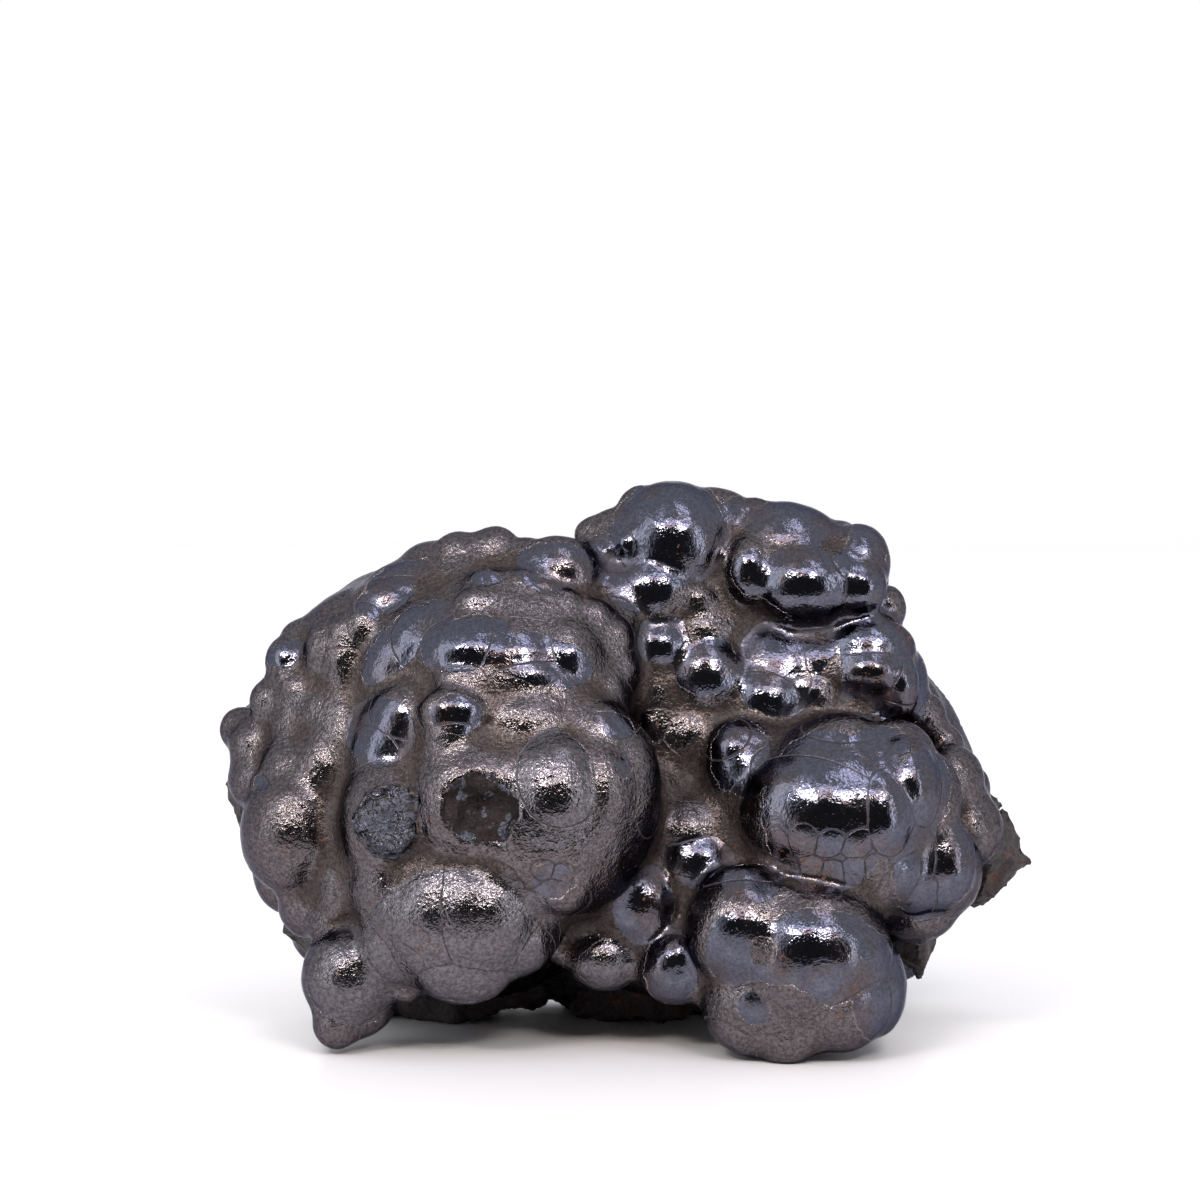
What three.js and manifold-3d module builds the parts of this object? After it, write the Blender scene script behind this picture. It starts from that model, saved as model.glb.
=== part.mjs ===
// A hand specimen of botryoidal hematite: one stone that grew as round metallic lobes crowding on a common
// mass, broken from the rock along its back. Millimetres, +Z up, -Y is the grown front, resting on z = 0.
import * as THREE from "three";
import { mergeVertices } from "three/addons/utils/BufferGeometryUtils.js";
import Module from "manifold-3d";

// Driving dimensions.
const LEAN = THREE.MathUtils.degToRad(7); // the front elevation is taken looking down by this angle,
const EYE_DISTANCE = 800; // and from this far off, so that whatever stands proud is drawn a little larger
const EYE_ACROSS = -3.5; // where the line of sight meets the elevation
const EYE_UP = 53.5;
const MIDDLE_X = 0; // the middle of the outline on the floor, which becomes the origin
const MIDDLE_Y = -0.54;
const STEEL_GREY = 0x4a4850;

// How finely the stone is faceted.
const FACET = 2.2; // lobe radius for each step of subdivision
const MOST_DETAIL = 5;
const TRIANGLES = 9000; // left after thinning
const FIRST_ALLOWANCE = 0.002; // how far thinning may shift the surface in its first pass,
const ALLOWANCE_GROWTH = 1.25; // and how many times as far in each pass after that
const LEAST_TURN = 0.3; // cosine of the most that a triangle may turn as it is thinned
const LEAST_FATNESS = 0.02; // area over the square of the longest side
const SLIVER = 0.002; // area below which a triangle is too thin to have a direction of its own

// Every lobe as the front elevation shows it: across and up to its middle, how far its face stands proud of
// the elevation's plane, half its width, half its height, half its depth, and its turn in degrees.
// A height left out is the width, and a depth left out is between the two.
const CORE = [
  [-20, 29, 19, 25, 25, 26],
  [20, 29, 8, 24, 22.5, 20],
  [0, 30, 9, 18, 26, 18],
  [12, 55, 7, 17, 8.5, 16],
  [-19, 50, 9, 17, 9, 17],
];
const CROWN = [
  [5.5, 60.6, 13, 7.6, 7.8, 7.4],
  [-1.4, 59.3, 10, 5.2],
  [1.8, 64.4, 8.5, 3.2, 3.4],
  [10.5, 62.9, 9, 6, 4.8, 5],
  [-1.4, 62.4, 8, 2.4, 2.6],
  [-4.8, 56, 10.8, 3.4, 3.8, 3.6],
  [-4.4, 61.6, 7.5, 2.2],
  [-3.2, 59.4, 10.6, 1.6],
  [0, 60.4, 11.6, 1.8, 2],
  [-1.2, 53.6, 13.6, 3.8, 4, 3.4],
  [3.4, 54.6, 13.6, 4.8, 4.6, 3.4],
  [12, 57, 10, 8.5, 6.5, 7],
  [19.8, 58.8, 11.4, 8, 7, 6.6, -12],
  [15.5, 64.2, 7.5, 2.6, 2.1],
  [8.8, 53.6, 12, 2.6, 2, 2.4],
  [22, 55.4, 14.5, 6.2, 5, 4.6],
  [15.2, 57, 13, 3.2, 4.4, 3.5],
  [25.8, 56.8, 13, 2.2, 2.8, 2.4],
  [28.8, 58, 11, 4, 5, 4.6],
  [28.6, 55.2, 12.8, 3.8, 3.7, 3.5],
  [26.4, 61.8, 5.5, 2.2, 1.7],
];
const SHOULDER = [
  [11, 50, 11, 7, 5, 6],
  [24, 44.6, 12, 12.6, 9, 13],
  [3.6, 47.6, 14, 4.4, 4, 4.2],
  [3.6, 51.6, 8.8, 2.4, 1.8],
  [9.8, 44, 14.4, 5.2, 5.2, 4.8],
  [9, 49.6, 12.4, 4.4, 2.6, 3],
  [18.6, 43.6, 12.8, 7.2, 7.6, 6.4],
  [17.4, 40.8, 14.4, 5, 4.4, 4.2],
  [21.4, 42.4, 12.9, 2.8, 2, 2.2],
  [30, 47.2, 12.8, 6, 4.6, 5.4],
  [30.2, 44.6, 13.8, 5, 3.6, 4.4],
  [33.6, 43, 12.6, 2.8, 4, 3.2],
  [33.2, 40.8, 12, 2.6, 2.3],
  [28.4, 40.4, 12.4, 2.6, 1.8, 2],
  [34.4, 42.6, 9, 3.2, 5.4, 5],
  [32.2, 52.4, 5, 2.6, 3, 3],
  [37.3, 38.6, 6, 2.6, 3.2, 3],
  [23.8, 41.5, 13.2, 2.4, 3, 3],
  [3.4, 42.2, 13.6, 4.6, 3.8, 4.4],
  [6, 34, 13.4, 8, 10, 10],
  [8, 36.6, 14.2, 5.6, 5.4, 6],
  [3.6, 38, 13.4, 3.4, 4, 4],
  [13.6, 39.6, 13, 3.8, 3.2, 3.6],
];
const RIGHT_DOME = [
  [26.2, 26.2, 26.5, 13.2, 12.8, 13],
  [25, 27, 27.1, 11.5, 9, 10],
  [31.2, 26.6, 26.5, 4.6, 6.4, 5.2],
  [34.4, 30, 24.3, 4.8, 6.6, 5.2],
  [37.4, 28.4, 21.2, 4.4, 6.2, 5],
  [33, 33.4, 20.8, 5.6, 5.4, 5],
  [26.6, 33.6, 22.4, 6.4, 6, 5.6],
  [15.4, 31.8, 19.2, 6.4, 7, 6.4],
  [13.8, 34.4, 18.4, 4, 4, 4],
  [17.2, 32, 19.8, 3.6, 3.6, 3.6],
  [15.4, 29.8, 19.5, 3, 3, 2.8],
  [14.6, 24.6, 18.8, 5.4, 6.6, 5.8],
  [32.4, 20.4, 23.2, 4.6, 4.6, 4.6],
  [36.1, 20.8, 21.2, 4.3, 6.2, 4.7],
  [39.2, 20.8, 20.7, 4.4, 6.2, 4.8],
  [38.5, 19.5, 18, 5.8, 6, 7],
  [36, 14.4, 15.5, 5, 3.6, 5],
  [42.2, 25, 11.5, 4.6, 5, 5],
  [40.5, 31, 12.5, 4, 4.4, 5],
  [40.2, 34.4, 5.5, 2, 3.4, 3],
  [43.3, 29.7, 5, 2, 3, 3],
];
const LOWER_RIGHT = [
  [20.5, 7, 27, 12, 9, 11],
  [23, 9.4, 30.2, 10, 9.4, 9.4],
  [14.4, 12.4, 28.4, 7.2, 7.4, 6.8],
  [14.4, 17.4, 25.6, 5, 3.2, 3.8],
  [19.4, 16, 26.4, 3, 2.2, 2.6],
  [17.6, 4, 26.8, 8.6, 6.6, 8],
  [19.8, -0.9, 25.5, 4.2, 4, 4.4],
  [26.4, 4.2, 27.4, 6.4, 6.8, 6.6],
  [30.8, 5.2, 24.6, 4.1, 6.4, 5.8],
  [14, 0, 24.5, 4.4, 3, 4.4, -30],
];
const LOWER_MIDDLE = [
  [4, 15, 17, 12, 11, 14],
  [8.8, 20.2, 19.8, 5.8, 6, 5.6],
  [7.6, 24.4, 18.8, 5.4, 4.4, 5],
  [7.8, 26.4, 17, 4, 3.2, 3.4],
  [4.6, 29.8, 15, 1.9, 2.6],
  [1.4, 15.6, 20.8, 5.4, 5.6, 5.2],
  [-3, 8.8, 19, 5, 4.2, 4.6],
  [6, 7.9, 21.8, 4.8, 5, 4.8],
  [9.8, 15.8, 18.6, 4, 3.8, 4],
  [1.8, 9.6, 18.2, 2.6, 3.4, 3],
  [-8.2, 10, 16.5, 2.2, 2.2],
  [-1.6, 18.8, 19.5, 1.9, 9, 4, -38],
];
const GREAT_DOME = [
  [-10.4, 26.8, 31, 14.2],
  [-9.2, 29.2, 31.7, 7.4, 8.2, 7.8],
  [-3.6, 29.6, 29.6, 5, 6.6, 6],
  [0, 30, 26.6, 4.2, 8, 6.2],
  [-3.6, 36, 26, 6.4, 5, 6, -40],
  [-13, 37.6, 27, 8, 5.6, 6.4],
  [-19.4, 28.4, 30.8, 8.6, 8.8, 8.4],
  [-29.8, 26.2, 27, 6.2, 8, 6.8],
  [-26.4, 35.4, 23.8, 8.6, 9, 9],
  [-22.6, 35, 27.2, 5, 6.5, 7],
  [-28.6, 33.8, 23.6, 6.2, 7.4, 5.4, -20],
  [-26, 33.4, 24.2, 5.6, 6.4, 5, -20],
  [-26.4, 37.8, 24, 6.2, 5.6, 5, -25],
  [-21.8, 39.4, 27.6, 4.4, 3.2, 3],
  [-21.8, 36.8, 27.8, 3, 2.4, 2.4],
  [-9.4, 18.6, 28.4, 5.6, 4.6, 5.2],
  [-14.6, 20.6, 28.8, 5.2, 4, 4.8],
];
const BELLY = [
  [-21.2, 14.4, 28.8, 12, 10.6, 11.4],
  [-30.2, 18.4, 24.4, 4, 4.2, 4.4],
  [-19, 14.4, 29.3, 7.2, 6.8, 6.4],
  [-20.6, 8.6, 27, 7, 5.6, 5.6],
  [-13.8, 11.2, 26, 4.8, 4.4, 5, 30],
  [-12.8, 14, 25.4, 4.4, 4.4, 4.8],
  [-29, 10.6, 24.4, 5, 5.4, 5.4],
  [-27.8, 5, 20.5, 2, 1.9],
];
const UPPER_LEFT = [
  [-26, 47.5, 14.5, 13.8, 10.5, 15],
  [-15.4, 45, 24.8, 11, 7.6, 9],
  [-19.4, 46.2, 24.6, 7.4, 6, 7],
  [-13.8, 43.6, 25.2, 7.6, 4.4, 6],
  [-8.2, 45.6, 23.2, 5.8, 6.4, 6.4],
  [-20.4, 43.6, 25.2, 3.8, 2.2, 2.6],
  [-10, 42, 24.4, 5.4, 3.4, 4.4],
  [-24, 45, 20.6, 9.5, 9.6, 9],
  [-27.2, 44.2, 19.8, 6.6, 8, 5.4, -24],
  [-24.6, 46.8, 20.7, 6, 6.6, 5, -28],
  [-22, 47.2, 21.4, 5.6, 6, 5, -32],
  [-28.4, 55.4, 12, 6, 3, 5, 22],
  [-29.6, 53.4, 14.5, 5.6, 3.2, 5, 12],
  [-15, 45, 22.5, 14, 13, 12],
  [-18, 54.5, 14.5, 11, 6, 8],
  [-9, 56.4, 16, 5.6, 5.2, 4.2],
  [-12.6, 58.6, 13.2, 2.7],
  [-7.2, 58.5, 13, 2.7],
  [-16.6, 59.6, 12, 3.2, 3.2],
  [-21, 59, 11.5, 3.4, 3.1],
  [-24.8, 57.5, 9.5, 4.2, 3.3, 3.8, 20],
  [-17.4, 55.6, 17.6, 2.6, 1.8, 2],
  [-18.4, 53, 20.2, 3.2, 2, 2.4],
  [-13.2, 55, 17.9, 2.2],
  [-10.6, 54.6, 17.6, 2, 1.6],
  [-10.4, 53, 18.8, 2, 1.6],
  [-7.8, 52.6, 18.6, 2.3],
  [-4.6, 51.2, 18.2, 2.6, 2.4],
  [-1.5, 47.5, 16.2, 5, 9, 9],
  [-1.9, 48.6, 18, 2.6, 2.8],
  [-1, 44.8, 17.8, 2.3, 3],
  [-3.8, 47, 18.5, 2.2, 5.6, 4, 25],
  [-6, 50.6, 18, 4, 1.8, 3, -30],
  [-2, 42, 20, 2, 4, 4, 20],
  [-5, 46, 17, 6, 7.5, 7],
];
const LEFT_FLANK = [
  [-39.8, 31.5, 10, 9.2, 13.8, 13],
  [-34.5, 34, 18.4, 6, 12, 10],
  [-36.4, 50.2, 10.5, 6.4, 3.6, 6, 40],
  [-40.6, 48.4, 8, 3, 2.7, 3],
  [-35, 45, 13.5, 6, 7, 7],
  [-37.9, 47, 14, 2.6, 3.8, 3],
  [-35.3, 48.2, 15.2, 2.6, 3.6, 3],
  [-35.4, 45.2, 15.8, 2.6, 3.6, 3],
  [-32.8, 49.8, 15.8, 2.6, 3.4, 2.8],
  [-42.3, 46, 10.5, 3.1, 3.2, 3.4],
  [-42.2, 43.8, 11, 2, 1.7, 1.8],
  [-41, 42, 12.4, 2.6, 2.3],
  [-44.6, 40.8, 9.6, 2.7, 2.9],
  [-48.3, 37.3, 5, 2.8, 2.8],
  [-37.2, 39.2, 15.2, 4, 3.6, 3.6],
  [-41, 38, 12.8, 3.6, 3.2, 3.2],
  [-46.4, 35.4, 9, 3.6, 3.2],
  [-37.6, 32.4, 18.2, 4.2, 4.8, 4.2],
  [-42, 31.6, 15.6, 4, 4.4, 4],
  [-41.6, 35, 13.5, 3, 2.4],
  [-45.9, 30.6, 14.2, 1.4],
  [-46, 31, 10.5, 4, 4, 5],
  [-41.8, 24.6, 19.8, 6.7, 8, 8.2],
  [-40.6, 28.4, 18.4, 3.4, 2.2, 3],
  [-35.9, 17.8, 19.4, 2.8, 5, 4],
  [-39.6, 15.4, 15, 4.2, 4.2, 5],
  [-36.2, 13, 17.6, 4, 3.2, 3.6],
  [-34.8, 6.4, 22.5, 6, 6.4, 6.2],
  [-36.4, 0.6, 20.4, 3, 3.2, 3.6],
  [-33.6, 2.9, 19.6, 4.6, 4.1, 4.6, 27],
  [-33, 13, 14, 5, 8, 9],
  [-33.5, 23, 20.5, 6, 9, 9],
];
// Lobes that go on over the top and round both sides, out of sight from the front.
const TOP_BEHIND = [
  [3, 60.5, 3, 6.5],
  [12, 59.6, 2, 6.5, 6.2, 7],
  [21, 58.6, 1.5, 6, 5.6],
  [28, 55.8, 1, 4.6, 5.2],
  [-1, 57, -4, 5.5, 5.4],
  [8, 58.6, -6, 6.2, 6],
  [17, 57.6, -7, 6.5, 5.8],
  [25.5, 54.2, -7, 6, 5.5],
  [3, 55, -13, 6.5, 6],
  [12, 55.5, -14, 6, 6],
  [21, 53, -15, 6, 6],
  [-9, 55.6, 5, 5.5, 5],
  [-16, 56, 4, 5.5, 5.8],
  [-23, 54.6, 3, 5.5, 5.2],
  [-30, 51, 4, 5.5, 5.6],
  [-12, 54, -4, 6, 6],
  [-20, 53.6, -5, 6, 5.6],
  [-27, 50.6, -4, 5.5, 5.6],
  [-34, 46.6, -1, 5, 5.6],
  [-8, 52, -12, 6, 6],
  [-16, 52, -13, 6, 5.2],
  [-24, 49, -12, 6, 6],
  [-31, 45, -10, 5.5, 6],
];
const SIDES_BEHIND = [
  [-41.5, 42.4, 2, 3.8, 4.4],
  [-45.2, 36, 0, 4.5, 5],
  [-45, 28, 0, 4.4, 5.5],
  [-43, 20.4, 3, 4, 6],
  [-38.5, 13, 3, 3.8, 5],
  [-38.5, 40, -5, 5, 5.5],
  [-42, 32, -7, 5, 6],
  [-41, 23, -6, 5.2, 6],
  [-36.5, 14, -5, 5, 6],
  [-33.5, 6, -3, 5, 5.6],
  [-36, 35, -14, 5.5, 6],
  [-37.5, 26, -15, 5.5, 6],
  [-33.5, 16, -13, 6, 7],
  [32, 46.6, 2, 3.8, 4.4],
  [35, 39.4, 0, 4.3, 5],
  [38.6, 32.4, -1, 4.4, 5],
  [41.2, 25.6, -1, 4.6, 5.2],
  [38.6, 18.4, 1, 4.8, 5.2],
  [33.4, 11, 0, 4.6, 5.2],
  [29.6, 43.6, -7, 5.5, 6],
  [34, 35.6, -9, 6, 6],
  [36.6, 27, -10, 6, 6],
  [34, 18, -9, 6, 6.5],
  [27, 38, -17, 6, 6.4],
];
// Angular rock, in the same terms: the points along the broken rim, then the blocks under and behind.
const RIM = [
  [45.4, 21.8, 8, 5.9, 7, 7, -14],
  [35.6, 11.4, 12, 4.5, 6.4, 9, 12],
  [-48.4, 30.6, 7, 2.8, 6, 5],
  [-40.2, 13.4, 11, 3.6, 8, 8, 22],
  [42, 27, 4, 6, 7.5, 12, 10],
];
const BLOCKS = [
  [-21, 5, 1, 13.5, 9, 15],
  [2.5, 5, 1, 12, 9, 14, 15],
  [20, 8, 3, 14, 11, 18, -10],
  [-24, 20, -8, 15, 14, 11, 20],
  [8, 24, -10, 17, 16, 11],
  [26, 26, -9, 13, 15, 11, 30],
  [-12, 42, -10, 17, 11, 10, -12],
  [13, 47, -11, 14, 9, 10, 8],
  [-1, 50, -7, 8, 9, 12],
  [-8, 8, -7, 9, 8, 12],
  [41.5, 21.6, 5, 8.6, 7, 12, -14],
];
// Round hollows underneath, taken out of it, in the same terms.
const HOLLOWS = [
  [-12.5, -3, 10, 10, 7, 30],
  [10, -3, -13, 8, 6, 22],
];
// Pits in the great dome, where small lobes have broken out of it, in the same terms.
const PITS = [
  [-30, 25.8, 28.4, 4.6, 5.2, 2],
  [-18.5, 27, 33, 4.7, 5.3, 2.4],
];
// Faces of the broken back: the middle of each, then the way it faces, as a heading round from +X and a rise.
// The last few are only as wide as stated, and leave ledges along their edges.
const BREAKS = [
  [0, 27, 30, 91, 5],
  [-27, 21, 25, 124, -8],
  [30, 20, 25, 62, 3],
  [41, 15, 20, 40, -14],
  [6, 25, 22, 84, -16],
  [-2, 23, 6, 97, -34],
  [-12, 21, 50, 98, 36],
  [14, 20, 56, 80, 30],
  [-34, 17.5, 50, 101, 10, 46],
  [30, 18.5, 2, 76, -7, 42],
  [10, 20.5, 68, 87, 9, 34],
  [-16, 22.5, 6, 104, -14, 24],
];
const FLOOR = [0, 0, 0, 0, -90];
const CUTTER_SIZE = 240;

const wasm = await Module();
wasm.setup();

// Turns a closed geometry into a body that can be joined and cut.
function asBody(geometry) {
  geometry.deleteAttribute("normal");
  geometry.deleteAttribute("uv");
  const merged = mergeVertices(geometry, 1e-4);
  const vertProperties = new Float32Array(merged.attributes.position.array);
  const triVerts = new Uint32Array(merged.index.array);
  return new wasm.Manifold(new wasm.Mesh({ numProp: 3, vertProperties, triVerts }));
}

// Sets a form of unit radius on the front elevation and carries it to where it really stands.
function onElevation(geometry, row) {
  const [across, up, front, wide, tall = wide, deep = Math.sqrt(wide * tall), turn = 0] = row;
  const proud = front - deep;
  const taper = 1 - proud / EYE_DISTANCE;
  geometry.scale(wide * taper, tall * taper, deep * taper);
  geometry.rotateZ(THREE.MathUtils.degToRad(turn));
  geometry.translate(EYE_ACROSS + (across - EYE_ACROSS) * taper, EYE_UP + (up - EYE_UP) * taper, proud);
  geometry.rotateX(Math.PI / 2 - LEAN);
  return asBody(geometry);
}

// A round lobe, with finer facets the larger it is.
function lobe(row) {
  const detail = Math.round(Math.max(row[3], row[4] ?? 0) / FACET);
  return onElevation(new THREE.IcosahedronGeometry(1, THREE.MathUtils.clamp(detail, 1, MOST_DETAIL)), row);
}

// A pointed piece of the broken rim.
function point(row) {
  return onElevation(new THREE.OctahedronGeometry(1, 0), row);
}

// A block of broken rock.
function block(row) {
  return onElevation(new THREE.IcosahedronGeometry(1, 0), row);
}

// All that lies beyond a face, to be cut away.
function beyond([x, y, z, heading, rise, size = CUTTER_SIZE]) {
  const cutter = new THREE.BoxGeometry(size, size, size);
  cutter.translate(size / 2, 0, 0);
  cutter.rotateY(THREE.MathUtils.degToRad(-rise));
  cutter.rotateZ(THREE.MathUtils.degToRad(heading));
  cutter.translate(x, y, z);
  return asBody(cutter);
}

// Thins a closed surface to a number of triangles. It draws the two ends of an edge together wherever that
// shifts the surface by less than an allowance, and widens the allowance until few enough triangles are left.
function thinned(corners, triangles, goal) {
  const around = corners.map(() => new Set());
  triangles.forEach((triangle, index) => triangle.forEach((corner) => around[corner].add(index)));
  const old = new THREE.Triangle();
  const moved = new THREE.Triangle();
  const oldNormal = new THREE.Vector3();
  const movedNormal = new THREE.Vector3();
  const offset = new THREE.Vector3();

  const neighbours = (corner) => new Set([...around[corner]].flatMap((index) => triangles[index]));

  // How far the surface would shift, or Infinity where a triangle would turn over or shrink to nothing.
  function shift(from, to, point) {
    let area = 0;
    let sum = 0;
    for (const corner of [from, to]) {
      for (const index of around[corner]) {
        const triangle = triangles[index];
        old.setFromPointsAndIndices(corners, ...triangle);
        old.getNormal(oldNormal);
        const weight = old.getArea();
        const distance = offset.subVectors(point, old.a).dot(oldNormal);
        area += weight;
        sum += weight * distance * distance;
        if (weight < SLIVER || (triangle.includes(from) && triangle.includes(to))) continue;
        moved.copy(old);
        [moved.a, moved.b, moved.c][triangle.indexOf(corner)].copy(point);
        moved.getNormal(movedNormal);
        const longest = Math.max(
          moved.a.distanceToSquared(moved.b),
          moved.b.distanceToSquared(moved.c),
          moved.c.distanceToSquared(moved.a),
        );
        const turned = movedNormal.dot(oldNormal) < LEAST_TURN;
        if (turned || moved.getArea() < LEAST_FATNESS * longest) return Infinity;
      }
    }
    return Math.sqrt(sum / area);
  }

  function draw(from, to, point) {
    corners[to].copy(point);
    for (const index of around[from]) {
      const triangle = triangles[index];
      if (triangle.includes(to)) {
        triangle.forEach((corner) => around[corner].delete(index));
        triangles[index] = null;
      } else {
        triangle[triangle.indexOf(from)] = to;
        around[to].add(index);
      }
    }
    around[from].clear();
  }

  let left = triangles.length;
  for (let allowance = FIRST_ALLOWANCE; left > goal; allowance *= ALLOWANCE_GROWTH) {
    for (let index = 0; index < triangles.length && left > goal; index += 1) {
      for (let side = 0; side < 3 && triangles[index]; side += 1) {
        const from = triangles[index][side];
        const to = triangles[index][(side + 1) % 3];
        const reach = neighbours(to);
        if ([...neighbours(from)].filter((corner) => reach.has(corner)).length !== 4) continue;
        const middle = corners[from].clone().lerp(corners[to], 0.5);
        const points = [middle, corners[to].clone(), corners[from].clone()];
        const shifts = points.map((point) => shift(from, to, point));
        const least = Math.min(...shifts);
        if (least > allowance) continue;
        draw(from, to, points[shifts.indexOf(least)]);
        left -= 2;
      }
    }
  }
  return triangles.filter((triangle) => triangle);
}

const LOBES = [
  CORE, CROWN, SHOULDER, RIGHT_DOME, LOWER_RIGHT, LOWER_MIDDLE, GREAT_DOME, BELLY, UPPER_LEFT, LEFT_FLANK,
  TOP_BEHIND, SIDES_BEHIND,
].flat();

const pieces = [...LOBES.map(lobe), ...RIM.map(point), ...BLOCKS.map(block)];
const cuts = [...[...BREAKS, FLOOR].map(beyond), ...[...HOLLOWS, ...PITS].map(lobe)];
const whole = pieces.reduce((stone, piece) => stone.add(piece));
const stone = cuts.reduce((left, cut) => left.subtract(cut), whole);

const solid = stone.getMesh();
const corners = [];
for (let i = 0; i < solid.vertProperties.length; i += 3) {
  corners.push(new THREE.Vector3(...solid.vertProperties.slice(i, i + 3)));
}
const triangles = [];
for (let i = 0; i < solid.triVerts.length; i += 3) triangles.push([...solid.triVerts.slice(i, i + 3)]);

const geometry = new THREE.BufferGeometry().setFromPoints(corners);
geometry.setIndex(thinned(corners, triangles, TRIANGLES).flat());
geometry.setFromPoints(corners);
geometry.translate(-MIDDLE_X, -MIDDLE_Y, 0);
geometry.computeVertexNormals();

const hematite = new THREE.Mesh(
  geometry,
  new THREE.MeshStandardMaterial({ color: STEEL_GREY, roughness: 0.35, metalness: 0.6 }),
);
hematite.name = "hematite";

const part = new THREE.Group();
part.add(hematite);

export default part;
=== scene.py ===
import math

import bmesh
import bpy
import numpy as np
from mathutils import Matrix, Vector, noise


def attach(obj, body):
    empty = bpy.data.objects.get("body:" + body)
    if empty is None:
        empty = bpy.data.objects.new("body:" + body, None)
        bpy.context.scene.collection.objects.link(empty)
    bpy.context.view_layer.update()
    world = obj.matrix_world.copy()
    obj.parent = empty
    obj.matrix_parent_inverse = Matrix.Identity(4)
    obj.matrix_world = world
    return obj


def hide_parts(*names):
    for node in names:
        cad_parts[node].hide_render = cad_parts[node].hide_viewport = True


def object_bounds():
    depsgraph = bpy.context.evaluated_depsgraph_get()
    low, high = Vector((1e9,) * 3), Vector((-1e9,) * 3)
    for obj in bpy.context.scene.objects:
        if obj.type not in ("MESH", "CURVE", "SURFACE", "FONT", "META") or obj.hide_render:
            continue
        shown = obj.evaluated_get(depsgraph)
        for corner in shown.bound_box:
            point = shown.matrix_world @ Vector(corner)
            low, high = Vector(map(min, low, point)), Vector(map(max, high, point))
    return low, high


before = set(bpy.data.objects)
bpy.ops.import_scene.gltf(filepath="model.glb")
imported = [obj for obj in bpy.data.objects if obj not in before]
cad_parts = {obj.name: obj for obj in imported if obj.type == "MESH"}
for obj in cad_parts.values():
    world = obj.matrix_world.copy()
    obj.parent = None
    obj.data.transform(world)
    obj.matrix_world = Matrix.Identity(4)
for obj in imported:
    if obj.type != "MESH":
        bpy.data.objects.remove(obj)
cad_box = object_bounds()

# ---------------------------------------------------------------------------------------------------------
# How the hematite grew. Bundles of fine needles fanned out from many points into round lobes, which crowd
# on a common mass and carry smaller lobes of their own. Behind and below, it is broken off with its rock.
# ---------------------------------------------------------------------------------------------------------
MILLIMETRE = 0.001
LEAN = math.radians(7)  # the front elevation is taken looking down by this angle,
EYE_DISTANCE = 800  # and from this many millimetres off, so what stands proud is drawn a little larger
EYE_ACROSS = -3.5  # where the line of sight meets the elevation
EYE_UP = 53.5
MIDDLE = (0, -0.54)  # the middle of the outline on the floor, which is the origin

# The lobes are set out in millimetres on the front elevation. In each row stand: across and up to the
# lobe's middle, how far its face stands proud of the elevation's plane, half its width, half its height,
# half its depth, and its turn in degrees. A height left out is the width, and a depth left out is between
# the two.
CORE = [
    [-20, 29, 19, 25, 25, 26], [20, 29, 8, 24, 22.5, 20], [0, 30, 9, 18, 26, 18],
    [12, 55, 7, 17, 8.5, 16], [-19, 50, 9, 17, 9, 17],
]
CROWN = [
    [5.5, 60.6, 13, 7.6, 7.8, 7.4], [-1.4, 59.3, 10, 5.2], [1.8, 64.4, 8.5, 3.2, 3.4],
    [10.5, 62.9, 9, 6, 4.8, 5], [-1.4, 62.4, 8, 2.4, 2.6], [-4.8, 56, 10.8, 3.4, 3.8, 3.6],
    [-4.4, 61.6, 7.5, 2.2], [-3.2, 59.4, 10.6, 1.6], [0, 60.4, 11.6, 1.8, 2],
    [-1.2, 53.6, 13.6, 3.8, 4, 3.4], [3.4, 54.6, 13.6, 4.8, 4.6, 3.4], [12, 57, 10, 8.5, 6.5, 7],
    [19.8, 58.8, 11.4, 8, 7, 6.6, -12], [15.5, 64.2, 7.5, 2.6, 2.1], [8.8, 53.6, 12, 2.6, 2, 2.4],
    [22, 55.4, 14.5, 6.2, 5, 4.6], [15.2, 57, 13, 3.2, 4.4, 3.5], [25.8, 56.8, 13, 2.2, 2.8, 2.4],
    [28.8, 58, 11, 4, 5, 4.6], [28.6, 55.2, 12.8, 3.8, 3.7, 3.5], [26.4, 61.8, 5.5, 2.2, 1.7],
]
SHOULDER = [
    [11, 50, 11, 7, 5, 6], [24, 44.6, 12, 12.6, 9, 13], [3.6, 47.6, 14, 4.4, 4, 4.2],
    [3.6, 51.6, 8.8, 2.4, 1.8], [9.8, 44, 14.4, 5.2, 5.2, 4.8], [9, 49.6, 12.4, 4.4, 2.6, 3],
    [18.6, 43.6, 12.8, 7.2, 7.6, 6.4], [17.4, 40.8, 14.4, 5, 4.4, 4.2], [21.4, 42.4, 12.9, 2.8, 2, 2.2],
    [30, 47.2, 12.8, 6, 4.6, 5.4], [30.2, 44.6, 13.8, 5, 3.6, 4.4], [33.6, 43, 12.6, 2.8, 4, 3.2],
    [33.2, 40.8, 12, 2.6, 2.3], [28.4, 40.4, 12.4, 2.6, 1.8, 2], [34.4, 42.6, 9, 3.2, 5.4, 5],
    [32.2, 52.4, 5, 2.6, 3, 3], [37.3, 38.6, 6, 2.6, 3.2, 3], [23.8, 41.5, 13.2, 2.4, 3, 3],
    [3.4, 42.2, 13.6, 4.6, 3.8, 4.4], [6, 34, 13.4, 8, 10, 10], [8, 36.6, 14.2, 5.6, 5.4, 6],
    [3.6, 38, 13.4, 3.4, 4, 4], [13.6, 39.6, 13, 3.8, 3.2, 3.6],
]
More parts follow.
